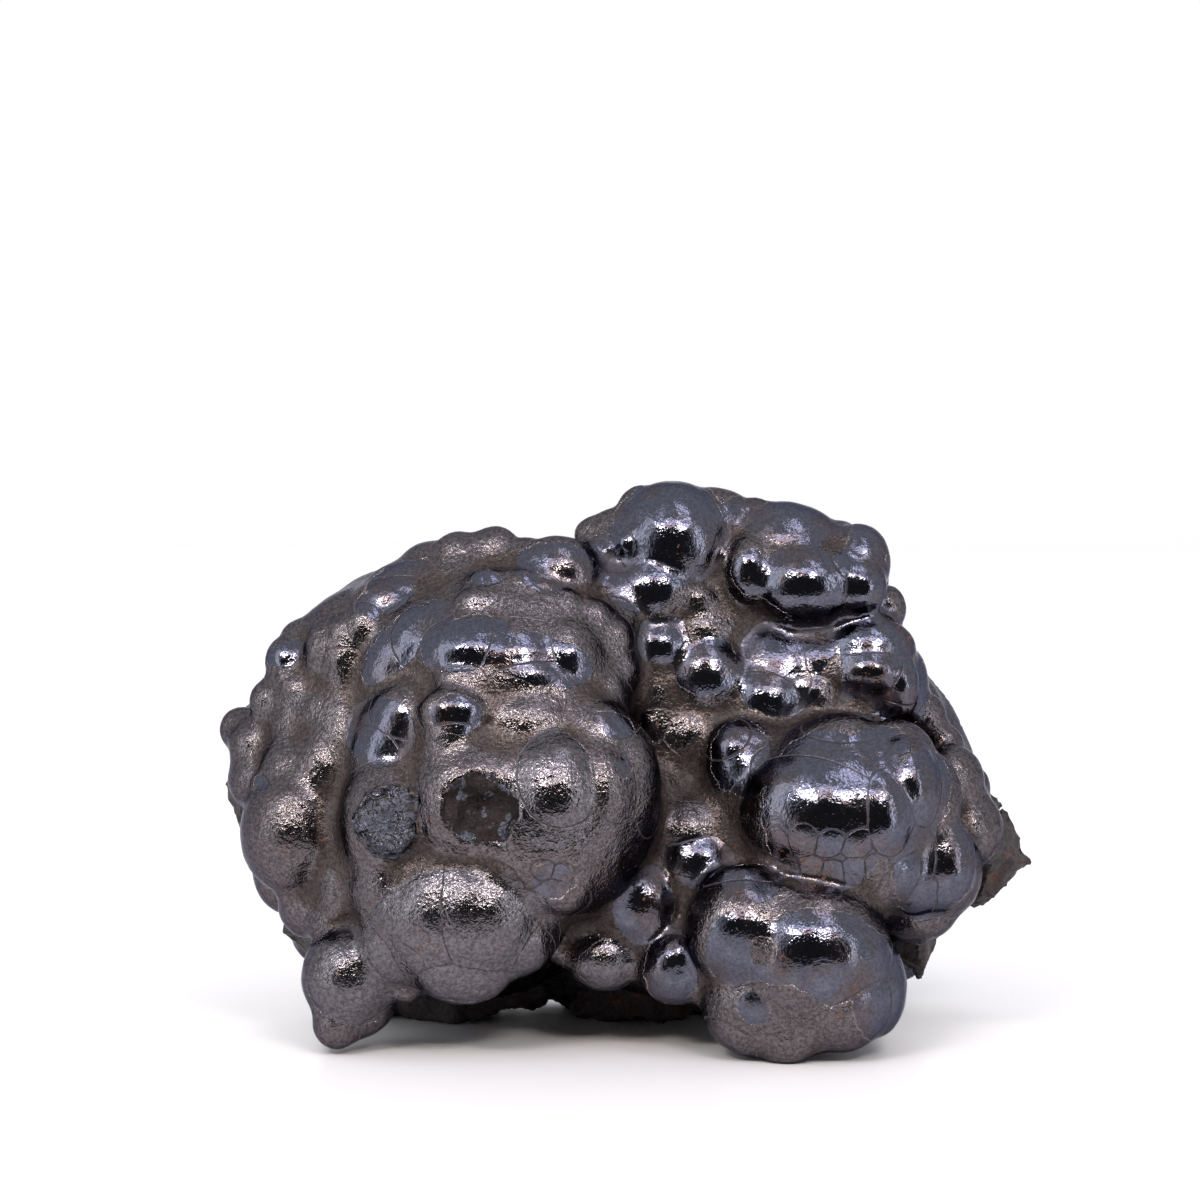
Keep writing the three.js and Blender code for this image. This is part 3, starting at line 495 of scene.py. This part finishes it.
for _ in range(SIGHTINGS):
    taper = 1 - proud / EYE_DISTANCE
    spots = [EYE_ACROSS + (across - EYE_ACROSS) * taper, EYE_UP + (up - EYE_UP) * taper, proud]
    spots = np.stack(spots, axis=1) @ np.array(UPRIGHT.to_3x3()).T + np.array(UPRIGHT.translation)
    distance, way = measured(spots.astype(np.float32))[:2]
    proud = proud - distance
for spot, out, half_width in zip(spots, way, half_widths):
    radius = CELL_ROUND * half_width
    swell = half_width**2 / 2 * (1 / radius - 1 / CELLED_FACE)
    middle = Vector(spot) - Vector(out).normalized() * (radius - swell)
    lobe_frames.append(Matrix.Translation(middle) @ Matrix.Scale(radius, 4))
lobe_forms = unstretched(lobe_frames)

drawn_on(skin, FIRST_ROUNDS)
body = bmesh.new()
body.from_mesh(skin)
skin = skinned(body, FINE_SKIN)
drawn_on(skin, LAST_ROUNDS)


# The film has filled the angles between lobes, far up where it lies thick and little on bare faces. The
# stone isn't as exact as that: its lobes swell unevenly, it is hackly where it broke, and the pits have
# ridged and stepped floors.
FILLINGS = 14  # rounds of drawing the skin out of the angles
BARE_FILLING = 0.5  # how far bare faces fill, against the film at its thickest
HIDES_LINES = 0.22  # millimetres of filling that hide the line between two lobes
FACE_LOST = 0.1  # millimetres off the lobes' own faces, past which a pit has taken them,
BREAK_BEGINS = 0.2  # and past which the skin is a break
PIT_UNBROKEN = -0.3  # how far short of a break a pit's floor counts
PIT_SPREADS = 1.2  # millimetres that a pit's floor goes on past its oval
FILLING_ENDS = 0.4  # millimetres into a break where the filling ends,
ROUGH_FROM = 0.8  # and where the break is fully rough
SWELLING = 0.17  # millimetres that the lobes' faces swell and sink, and the size of a swelling
SWELLING_SIZE = 5.5
RIPPLE = 0.08  # the same for the ripples on them,
RIPPLE_SIZE = 1.9
HACKLE = 0.75  # for the breaks,
HACKLE_SIZE = 4.2
PIT_HACKLE = 0.5  # and for the pits' floors
PIT_HACKLE_SIZE = 2.2
PIT_LEDGE = 0.45  # millimetres from one step of a pit's floor to the next
PIT_LEDGES = 2.5  # how many steps it rises or falls by
PIT_LEDGES_SIZE = 3.0
HACKLE_FADE = 0.9  # how fast the finer hackle dies away,
HACKLE_FINER = 2.3  # how much finer each of its layers is than the last,
HACKLE_LAYERS = 4  # how many layers it has,
HACKLE_MEAN = 0.6  # and how high it stands on the whole

points = points_of(skin)
lobes = np.empty((len(lobe_frames), len(points)), np.float32)
grown = np.empty(len(points), np.float32)
turn = np.empty(len(points), np.float32)
ways = np.empty_like(points)
for start in range(0, len(points), CHUNK):
    part = slice(start, start + CHUNK)
    _, ways[part], lobes[:, part], lobe_ways, grown[part] = measured(points[part])
    two = np.argpartition(lobes[:, part], 1, axis=0)[:2]
    each = np.arange(two.shape[1])
    turn[part] = np.linalg.norm(lobe_ways[two[0], each] - lobe_ways[two[1], each], axis=1)
ways /= np.linalg.norm(ways, axis=1)[:, None]
across, up, proud = on_elevation(points)
in_pit = np.max([inside(across, up, row[:2] + row[3:5] + [0]) for row in PITS], axis=0)
in_pit = np.clip(in_pit + PIT_SPREADS, 0, 1) * (proud > FRONT_ENDS) * (np.abs(grown) > FACE_LOST)
broken = np.where(in_pit > 0.5, PIT_UNBROKEN, np.abs(grown) - BREAK_BEGINS)


def waves(size, shift=0.0):
    """A smooth unevenness of a given size in millimetres, from about -1 to 1, at every point of the skin."""
    return np.array([noise.noise(Vector(point) / size + Vector((shift, 0, 0))) for point in points])


def hackle(size):
    """The angular unevenness of a break, from about -1 to 1, at every point of the skin."""
    layers = (HACKLE_FADE, HACKLE_FINER, HACKLE_LAYERS)
    heights = [noise.fractal(Vector(point) / size, *layers, noise_basis="VORONOI_F1") for point in points]
    return np.array(heights) - HACKLE_MEAN


ends = np.empty(len(skin.edges) * 2, np.int32)
skin.edges.foreach_get("vertices", ends)
ends = ends.reshape(-1, 2)
beside = np.bincount(ends.ravel(), minlength=len(points))[:, None]


def evened(places):
    """Each point of the skin's places drawn to the middle of the places beside it."""
    total = [
        np.bincount(ends[:, 0], places[ends[:, 1], axis], len(places))
        + np.bincount(ends[:, 1], places[ends[:, 0], axis], len(places)) for axis in range(3)
    ]
    return np.stack(total, axis=1) / beside


bare, seen = bared(points)
filling = np.where(seen, np.clip(-bare / FILM_THICKENS, BARE_FILLING, 1), UNSEEN_FILM)
filling = filling * np.clip(1 - broken / FILLING_ENDS, 0, 1)
filled = points.astype(np.float64)
for _ in range(FILLINGS):
    shift = evened(filled) - filled
    lift = np.einsum("ni,ni->n", shift, ways)
    filled += shift * (filling * (lift > 0))[:, None]

lifted = np.einsum("ni,ni->n", filled - points, ways)

rough = np.clip(broken / ROUGH_FROM, 0, 1)
height = (1 - rough) * (SWELLING * waves(SWELLING_SIZE) + RIPPLE * waves(RIPPLE_SIZE, shift=7.0))
height += rough * HACKLE * hackle(HACKLE_SIZE)
steps = np.round(PIT_LEDGES * waves(PIT_LEDGES_SIZE, shift=11.0))
height += in_pit * (PIT_HACKLE * hackle(PIT_HACKLE_SIZE) + PIT_LEDGE * steps)
lowest = np.array(cad_box[0]) / MILLIMETRE
highest = np.array(cad_box[1]) / MILLIMETRE
put_points(skin, np.clip(filled + ways * height[:, None], lowest, highest))


# ---------------------------------------------------------------------------------------------------------
# What covers the skin. The lobes' own faces are bare and mirror-bright, a dull film of fine grains lies
# over much of them and fills the angles between them, and the breaks show rusty rock. The skin carries how
# far each point is from the lobes, the film's edge, a break or a pit, and how low it lies.
# ---------------------------------------------------------------------------------------------------------
REACH = 1.3  # millimetres off a lobe, past which a point doesn't carry it
LOBE_SETS = 9  # three at a time, as a point carries three numbers at once


def carry(mesh, name, values):
    """Stores one number or three numbers for each of a mesh's points."""
    kind = "FLOAT" if values.ndim == 1 else "FLOAT_VECTOR"
    layer = mesh.attributes.new(name, kind, "POINT")
    layer.data.foreach_set("value" if values.ndim == 1 else "vector", values.astype(np.float32).ravel())


# Lobes that touch each other go into different sets, so that the line between them is never lost.
near = (lobes < REACH).astype(np.float32)
touching = near @ near.T
np.fill_diagonal(touching, 0)
lobe_set = np.full(len(lobe_frames), -1)
for lobe in np.argsort(-touching.sum(axis=1)):
    load = [touching[lobe, lobe_set == number].sum() for number in range(LOBE_SETS)]
    lobe_set[lobe] = int(np.argmin(load))
sets = np.stack([lobes[lobe_set == number].min(axis=0, initial=REACH) for number in range(LOBE_SETS)], axis=1)
for number in range(3):
    carry(skin, f"lobes_{number}", sets[:, number * 3:number * 3 + 3])
carry(skin, "turn", turn)
carry(skin, "covered", np.clip(lifted / HIDES_LINES, 0, 1))
carry(skin, "broken", np.clip(broken, -1, 2))
carry(skin, "pit", in_pit)

satin = np.full(len(points), -DEEPEST_FILM, np.float32)
across, up, proud = on_elevation(points)
for row in SATIN:
    satin = np.maximum(satin, inside(across, up, row))
carry(skin, "satin", np.where(seen, satin, -DEEPEST_FILM).clip(-DEEPEST_FILM, DEEPEST_FILM))

# How far each point lies down in a hollow, against the skin with its unevenness drawn smooth.
SMOOTHINGS = 36
DEEPEST_HOLLOW = 2
points = points_of(skin)
smoothed = points.astype(np.float64)
for _ in range(SMOOTHINGS):
    smoothed = evened(smoothed)
hollow = np.einsum("ni,ni->n", smoothed - points, ways)
carry(skin, "hollow", hollow.clip(-DEEPEST_HOLLOW, DEEPEST_HOLLOW))

HIDDEN_BARE = 0.4  # share of the lobes that are bare, out of sight from the front,
SEAM_FILM = 0.6  # millimetres of film left along their seams,
BELOW_FILM = 0.3  # and how far under the film the other lobes' seams lie
WANDER = 0.45  # how far the film's edge wanders, in millimetres,
WANDER_SIZE = 1.7  # and over what distance
DRAW = 8  # seeds the draw of which hidden lobes are bare

first = lobes.argmin(axis=0)
each = np.arange(len(points))
least = lobes[first, each]
others = lobes.copy()
others[first, each] = np.inf
apart = others.min(axis=0) - least
del others
is_bare = np.random.default_rng(DRAW).random(len(lobe_frames)) < HIDDEN_BARE
bare = np.where(seen, bare, np.where(is_bare[first], apart - SEAM_FILM, -BELOW_FILM - apart))
carry(skin, "bare", np.clip(bare + WANDER * waves(WANDER_SIZE, shift=21.0), -DEEPEST_FILM, DEEPEST_FILM))

stone_piece = bpy.data.objects.new("hematite_stone", skin)
bpy.context.scene.collection.objects.link(stone_piece)
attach(stone_piece, "root")
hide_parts("hematite")


# ---------------------------------------------------------------------------------------------------------
# The stone's finish. Bare hematite is a steel-blue mirror, the film is brown-grey and glitters with small
# crystal faces, brown dust lies in the angles between lobes, and the breaks are dark brown with rust. A
# painted highlight runs along the film's edge, and painted shade darkens the deepest hollows.
# ---------------------------------------------------------------------------------------------------------
STEEL_BLUE = (0.084, 0.086, 0.112, 1)
TARNISH = (0.086, 0.075, 0.082, 1)
SATIN_GREY = (0.096, 0.085, 0.089, 1)
SATIN_BARE = (0.105, 0.097, 0.106, 1)
# painted highlight: the film's edge drawn lighter, as if it caught the light
FILM_RIM_HIGHLIGHT = (0.24, 0.21, 0.21, 1)
BROWN_DUST = (0.052, 0.041, 0.038, 1)
# the dark dust line between lobes, and painted shade in the deepest hollows
CREASE_DUST_AND_SHADE = (0.018, 0.013, 0.012, 1)
PIT_GREY = (0.075, 0.078, 0.098, 1)
PIT_BROWN = (0.016, 0.011, 0.010, 1)
ROCK = (0.034, 0.027, 0.026, 1)
RUST = (0.095, 0.036, 0.020, 1)
GLANCING_TINT = (0.45, 0.45, 0.5, 1)
SPECK = 0.2  # sizes of the grains and of the patches, in millimetres
CRYSTAL = 0.46
COARSE = 1.2
CLOUD = 6.0
FILM_FRAY = 0.55
PIT_VEIN = 1.3
PIT_SHELF = 2.4
BREAK_GRAIN = 1.4
MIRROR = (0.07, 0.14)  # least and greatest roughness of a bare face,
FILM_ROUGHNESS = 0.16
EARTH_ROUGHNESS = 0.55
GRIT_HEIGHT = (0.018, 0.05)  # how far things stand up from a bare face and from a grainy one, in millimetres
CRYSTAL_HEIGHT = (0.03, 0.085)
COARSE_HEIGHT = (0.08, 0.16)
FILM_HEIGHT = 0.05
GROOVE_DEPTH = 0.07
BREAK_HEIGHT = 0.6
PITS_PART = (-0.025, -0.024)  # across, in metres, where the left pit ends and the right one begins
LEAST_TURN = 0.12  # from one lobe's face to the next, that still shows where they meet

finish = bpy.data.materials.new("hematite_finish")
finish.use_nodes = True
finish.node_tree.nodes.clear()


def tree_node(tree, kind, inputs=None, **settings):
    """A node of a tree, with its own settings and its inputs' values or links."""
    made = tree.nodes.new("ShaderNode" + kind)
    for name, value in settings.items():
        setattr(made, name, value)
    for name, value in (inputs or {}).items():
        if isinstance(value, bpy.types.NodeSocket):
            tree.links.new(value, made.inputs[name])
        else:
            made.inputs[name].default_value = value
    return made


def node(kind, **settings):
    """A node of the finish."""
    return tree_node(finish.node_tree, kind, **settings)


def sum_of(operation, *values):
    """One sum on numbers."""
    return node("Math", operation=operation, inputs=dict(enumerate(values))).outputs[0]


def triple(operation, first, second):
    """One sum on three numbers at once."""
    return node("VectorMath", operation=operation, inputs={0: first, 1: second}).outputs[0]


def carried(name, output="Fac"):
    """What the skin carries."""
    return node("Attribute", attribute_name=name).outputs[output]


def ramp(value, low, high, from_value=0.0, to_value=1.0):
    """Goes smoothly from one value to another as a number goes from low to high."""
    inputs = {"Value": value, "From Min": low, "From Max": high, "To Min": from_value, "To Max": to_value}
    return node("MapRange", interpolation_type="SMOOTHSTEP", inputs=inputs).outputs["Result"]


def grain(size, detail=2.0, roughness=0.5):
    """Noise from 0 to 1 of a given size in millimetres."""
    inputs = {"Vector": place, "Scale": 1 / (size * MILLIMETRE), "Detail": detail, "Roughness": roughness}
    return node("TexNoise", inputs=inputs).outputs["Fac"]


def between(first, second, share):
    """A colour between two."""
    return node("Mix", data_type="RGBA", inputs={0: share, 6: first, 7: second}).outputs[2]


def mix(first, second, share):
    """A number between two."""
    return node("Mix", data_type="FLOAT", inputs={0: share, 2: first, 3: second}).outputs[0]


place = node("TexCoord").outputs["Object"]

# How far it is to the line where two lobes meet: the nearest lobe's distance off the next nearest's.
near_0, near_1, near_2 = (carried(f"lobes_{number}", "Vector") for number in range(3))
low = triple("MINIMUM", near_0, near_1)
high = triple("MAXIMUM", near_0, near_1)
high = triple("MINIMUM", high, triple("MAXIMUM", low, near_2))
low = triple("MINIMUM", low, near_2)
lows = node("SeparateXYZ", inputs={0: low}).outputs
highs = node("SeparateXYZ", inputs={0: high}).outputs
first, second = lows[0], highs[0]
for number in (1, 2):
    second = sum_of("MINIMUM", second, highs[number])
    second = sum_of("MINIMUM", second, sum_of("MAXIMUM", first, lows[number]))
    first = sum_of("MINIMUM", first, lows[number])
turn = carried("turn")
apart = sum_of("DIVIDE", sum_of("SUBTRACT", second, first), sum_of("MAXIMUM", turn, LEAST_TURN))

# The grains and the patches, then where the film ends, a painted highlight along its edge that fades in the
# hollows, and where the rock is broken.
specks = grain(SPECK, 1.0)
crystals = grain(CRYSTAL, 1.0)
coarse = grain(COARSE, 3.0, 0.55)
cloudy = grain(CLOUD, 3.0, 0.55)
hollow = carried("hollow")
film_edge = sum_of("ADD", carried("bare"), sum_of("MULTIPLY_ADD", grain(FILM_FRAY, 2.0), 0.6, -0.3))
film = ramp(film_edge, 0.05, -0.05)
rim = sum_of("MULTIPLY", ramp(sum_of("ABSOLUTE", film_edge), 0.11, 0.03), ramp(cloudy, 0.45, 0.62))
rim = sum_of("MULTIPLY", rim, ramp(hollow, 0.25, 0.0))
break_edge = sum_of("ADD", carried("broken"), sum_of("MULTIPLY_ADD", coarse, 0.8, -0.4))
is_broken = ramp(break_edge, 0.02, 0.3)
in_pit = ramp(sum_of("MULTIPLY_ADD", coarse, 0.3, carried("pit")), 0.5, 0.7)

# A fine dark line of dust where two lobes meet, brown dust wherever the skin lies low, and painted shade that
# darkens the deepest hollows.
line = ramp(sum_of("MULTIPLY_ADD", coarse, 0.3, apart), 0.33, 0.19)
line = sum_of("MULTIPLY", line, sum_of("MULTIPLY", ramp(turn, 0.08, 0.35), mix(0.9, 0.55, film)))
line = sum_of("MULTIPLY", line, mix(1.0, 0.0, carried("covered")))
dusty = sum_of("MULTIPLY_ADD", coarse, 0.12, sum_of("MULTIPLY_ADD", cloudy, 0.3, hollow))
dusty = sum_of("MULTIPLY", ramp(dusty, 0.2, 0.46), mix(0.25, 1.0, film))
# Painted shade: the deepest hollows are darkened towards the crease colour.
deep = ramp(sum_of("MULTIPLY_ADD", coarse, 0.2, hollow), 0.3, 0.75)
rusty = ramp(sum_of("MULTIPLY_ADD", coarse, 0.5, cloudy), 0.78, 1.0)

# The left pit is grey with thin brown lines, the right one brown with a few grey ledges.
pit_lines = ramp(sum_of("ABSOLUTE", sum_of("SUBTRACT", grain(PIT_VEIN, 2.0), 0.5)), 0.04, 0.01)
ledges = ramp(grain(PIT_SHELF, 3.0, 0.6), 0.56, 0.6)
right_pit = ramp(node("SeparateXYZ", inputs={0: place}).outputs[0], *PITS_PART)
pit_brown = mix(pit_lines, sum_of("SUBTRACT", 1.0, ledges), right_pit)

# The colours: the lobes' own faces, what lies on them, then the pits and the breaks.
bare_face = between(STEEL_BLUE, TARNISH, ramp(cloudy, 0.45, 0.65))
satin = ramp(sum_of("MULTIPLY_ADD", coarse, 1.6, carried("satin")), 0.2, 1.4)
grainy = sum_of("MAXIMUM", film, sum_of("MULTIPLY", satin, 0.8))
bare_face = between(bare_face, SATIN_BARE, satin)
colour = between(bare_face, SATIN_GREY, film)
colour = between(colour, BROWN_DUST, dusty)
# A thin painted highlight along the film's edge.
colour = between(colour, FILM_RIM_HIGHLIGHT, sum_of("MULTIPLY", rim, sum_of("SUBTRACT", 1.0, satin)))
# The dark line where lobes meet, and painted shade in the deep hollows.
colour = between(colour, CREASE_DUST_AND_SHADE, sum_of("MAXIMUM", line, sum_of("MULTIPLY", deep, 0.45)))
dust_specks = ramp(sum_of("MULTIPLY_ADD", cloudy, 0.35, grain(0.7, 2.0, 0.7)), 0.86, 0.9)
colour = between(colour, RUST, dust_specks)
colour = between(colour, between(PIT_GREY, PIT_BROWN, pit_brown), in_pit)
colour = between(colour, between(ROCK, RUST, rusty), is_broken)

# Every grain has its own brightness, and what is earthy is dull and no metal.
grains = ramp(sum_of("MULTIPLY_ADD", crystals, 0.5, sum_of("MULTIPLY", specks, 0.5)), 0.36, 0.64, -1.0, 1.0)
grains = sum_of("MULTIPLY_ADD", grains, mix(0.2, 0.38, sum_of("MAXIMUM", grainy, is_broken)), 1.0)
colour = node("VectorMath", operation="SCALE", inputs={0: colour, "Scale": grains}).outputs[0]
earthy = sum_of("MAXIMUM", is_broken, sum_of("MAXIMUM", line, sum_of("MULTIPLY", dusty, 0.35)))
earthy = sum_of("MAXIMUM", earthy, sum_of("MULTIPLY", in_pit, mix(0.05, 0.6, pit_brown)))
earthy = sum_of("MAXIMUM", earthy, sum_of("MAXIMUM", dust_specks, sum_of("MULTIPLY", deep, 0.85)))
metal = sum_of("SUBTRACT", 1.0, earthy)
roughness = mix(ramp(cloudy, 0.3, 0.7, *MIRROR), FILM_ROUGHNESS, grainy)
roughness = mix(roughness, EARTH_ROUGHNESS, earthy)

# What stands up from the skin: the grains of three sizes, the film's edge, the breaks, and less the grooves.
hackly = sum_of("MULTIPLY", grain(BREAK_GRAIN, 5.0, 0.65), sum_of("MAXIMUM", is_broken, in_pit))
height = sum_of("MULTIPLY", specks, mix(*GRIT_HEIGHT, grainy))
height = sum_of("MULTIPLY_ADD", crystals, mix(*CRYSTAL_HEIGHT, grainy), height)
height = sum_of("MULTIPLY_ADD", coarse, mix(*COARSE_HEIGHT, grainy), height)
height = sum_of("MULTIPLY_ADD", film, FILM_HEIGHT, height)
height = sum_of("MULTIPLY_ADD", line, -GROOVE_DEPTH, height)
height = sum_of("MULTIPLY_ADD", hackly, BREAK_HEIGHT, height)
relief = node("Bump", inputs={"Strength": 1.0, "Distance": MILLIMETRE, "Height": height}).outputs["Normal"]

shader = node("BsdfPrincipled", inputs={
    "Base Color": colour, "Metallic": metal, "Roughness": roughness, "Normal": relief,
    "Specular Tint": GLANCING_TINT,
})
node("OutputMaterial", inputs={"Surface": shader.outputs[0]})
skin.materials.append(finish)


# ---------------------------------------------------------------------------------------------------------
# The floor, the lights and the camera. A pale table stands in a white tent. A wide soft light hangs high in
# front, with two bright lamps and a warm strip along its lower edge, and tall soft lights stand at the left
# and the right.
# ---------------------------------------------------------------------------------------------------------
CAMERA_LENS = 192
CAMERA_SENSOR = 36
TABLE_FRONT = -0.125  # metres from the origin to the table's edges
TABLE_BACK = 0.54
TABLE_HALF_WIDTH = 1.2
TABLE_WHITE = (0.82, 0.81, 0.82, 1)
TABLE_ROUGHNESS = 0.3
COOL = (0.86, 0.84, 1.0)
EMBER = (1.0, 0.42, 0.1)
LAMP_WHITE = (1.0, 0.96, 0.88)
DAYLIGHT = (0.96, 0.97, 1.0)
AIMED_AT = Vector((0, 0, 0.035))  # metres
TENT_TOP = 1.0  # the tent's brightness above the stone, and in its dark opening in front
TENT_FRONT = 0.07
OPENING_SIDES = (-0.68, -0.76)  # how far forward one looks at the opening's soft sides, out and in
OPENING_TOP = (0.62, 0.56)  # and how far up at its soft top

table = bmesh.new()
bmesh.ops.create_grid(table, x_segments=1, y_segments=1, size=1)
half_deep = (TABLE_BACK - TABLE_FRONT) / 2
bmesh.ops.scale(table, vec=(TABLE_HALF_WIDTH, half_deep, 1), verts=table.verts)
bmesh.ops.translate(table, vec=(0, TABLE_FRONT + half_deep, 0), verts=table.verts)
table_mesh = bpy.data.meshes.new("table")
table.to_mesh(table_mesh)
table.free()
table_top = bpy.data.objects.new("table", table_mesh)
bpy.context.scene.collection.objects.link(table_top)
white = bpy.data.materials.new("white_table")
white.use_nodes = True
white.node_tree.nodes["Principled BSDF"].inputs["Base Color"].default_value = TABLE_WHITE
white.node_tree.nodes["Principled BSDF"].inputs["Roughness"].default_value = TABLE_ROUGHNESS
table_mesh.materials.append(white)


def soft_light(name, azimuth, height, distance, wide, tall, radiance, colour):
    """A rectangular light that faces the stone, seen from it at an azimuth right of the front and a height,
    both in degrees."""
    azimuth, height = math.radians(azimuth), math.radians(height)
    level = math.cos(height)
    towards = Vector((math.sin(azimuth) * level, -math.cos(azimuth) * level, math.sin(height)))
    lamp = bpy.data.lights.new(name, "AREA")
    lamp.shape = "RECTANGLE"
    lamp.size = wide
    lamp.size_y = tall
    lamp.energy = radiance * math.pi * wide * tall
    lamp.color = colour
    held = bpy.data.objects.new(name, lamp)
    held.location = AIMED_AT + towards * distance
    held.rotation_euler = towards.to_track_quat("Z", "Y").to_euler()
    bpy.context.scene.collection.objects.link(held)


soft_light("front_top_light", 0, 47, 1.2, 1.7, 0.19, 5.5, COOL)
soft_light("front_top_right_end", 42, 66, 1.2, 0.2, 0.5, 5.0, COOL)
soft_light("front_top_left_end", -44, 60, 1.2, 0.14, 0.3, 2.5, COOL)
soft_light("front_top_warm_edge", 0, 39.6, 1.2, 1.5, 0.045, 6.0, EMBER)
soft_light("left_lamp", -28, 35.4, 1.2, 0.34, 0.12, 42.0, LAMP_WHITE)
soft_light("right_lamp", 21, 35.4, 1.2, 0.3, 0.12, 42.0, LAMP_WHITE)
soft_light("right_light", 55, 10, 1.1, 0.12, 0.75, 5.0, DAYLIGHT)
soft_light("left_reflector", -62, 24, 0.9, 0.34, 0.8, 2.2, DAYLIGHT)

world = bpy.data.worlds.new("white_tent")
bpy.context.scene.world = world
world.use_nodes = True
tent = world.node_tree
tent.nodes.clear()


def edge(value, from_value, to_value):
    """Goes smoothly from 0 to 1 between two values."""
    inputs = {0: value, 1: from_value, 2: to_value}
    return tree_node(tent, "MapRange", inputs, interpolation_type="SMOOTHSTEP").outputs[0]


# Dark between the front edge of the table and the front light, and as far as the tent's side walls.
direction = tree_node(tent, "TexCoord").outputs["Generated"]
look = tree_node(tent, "SeparateXYZ", {0: direction}).outputs
opening = {0: edge(look[1], *OPENING_SIDES), 1: edge(look[2], *OPENING_TOP)}
opening = tree_node(tent, "Math", opening, operation="MULTIPLY").outputs[0]
wall = tree_node(tent, "MapRange", {0: opening, 3: TENT_TOP, 4: TENT_FRONT}).outputs[0]
seen = tree_node(tent, "Background", {"Color": (1, 1, 1, 1), "Strength": 1.0}).outputs[0]
lit = tree_node(tent, "Background", {"Color": (*DAYLIGHT, 1), "Strength": wall}).outputs[0]
eye = tree_node(tent, "LightPath").outputs["Is Camera Ray"]
shown = tree_node(tent, "MixShader", {0: eye, 1: lit, 2: seen}).outputs[0]
tree_node(tent, "OutputWorld", {"Surface": shown})

camera = bpy.data.cameras.new("camera")
camera.lens = CAMERA_LENS
camera.sensor_width = CAMERA_SENSOR
camera.clip_start = 0.01
eye_point = bpy.data.objects.new("camera", camera)
sight_line = Vector((0, math.cos(LEAN), -math.sin(LEAN)))
target = UPRIGHT @ Vector((EYE_ACROSS, EYE_UP, 0)) * MILLIMETRE
eye_point.location = target - sight_line * EYE_DISTANCE * MILLIMETRE
eye_point.rotation_euler = sight_line.to_track_quat("-Z", "Y").to_euler()
bpy.context.scene.collection.objects.link(eye_point)
bpy.context.scene.camera = eye_point
bpy.context.scene.view_settings.view_transform = "Standard"
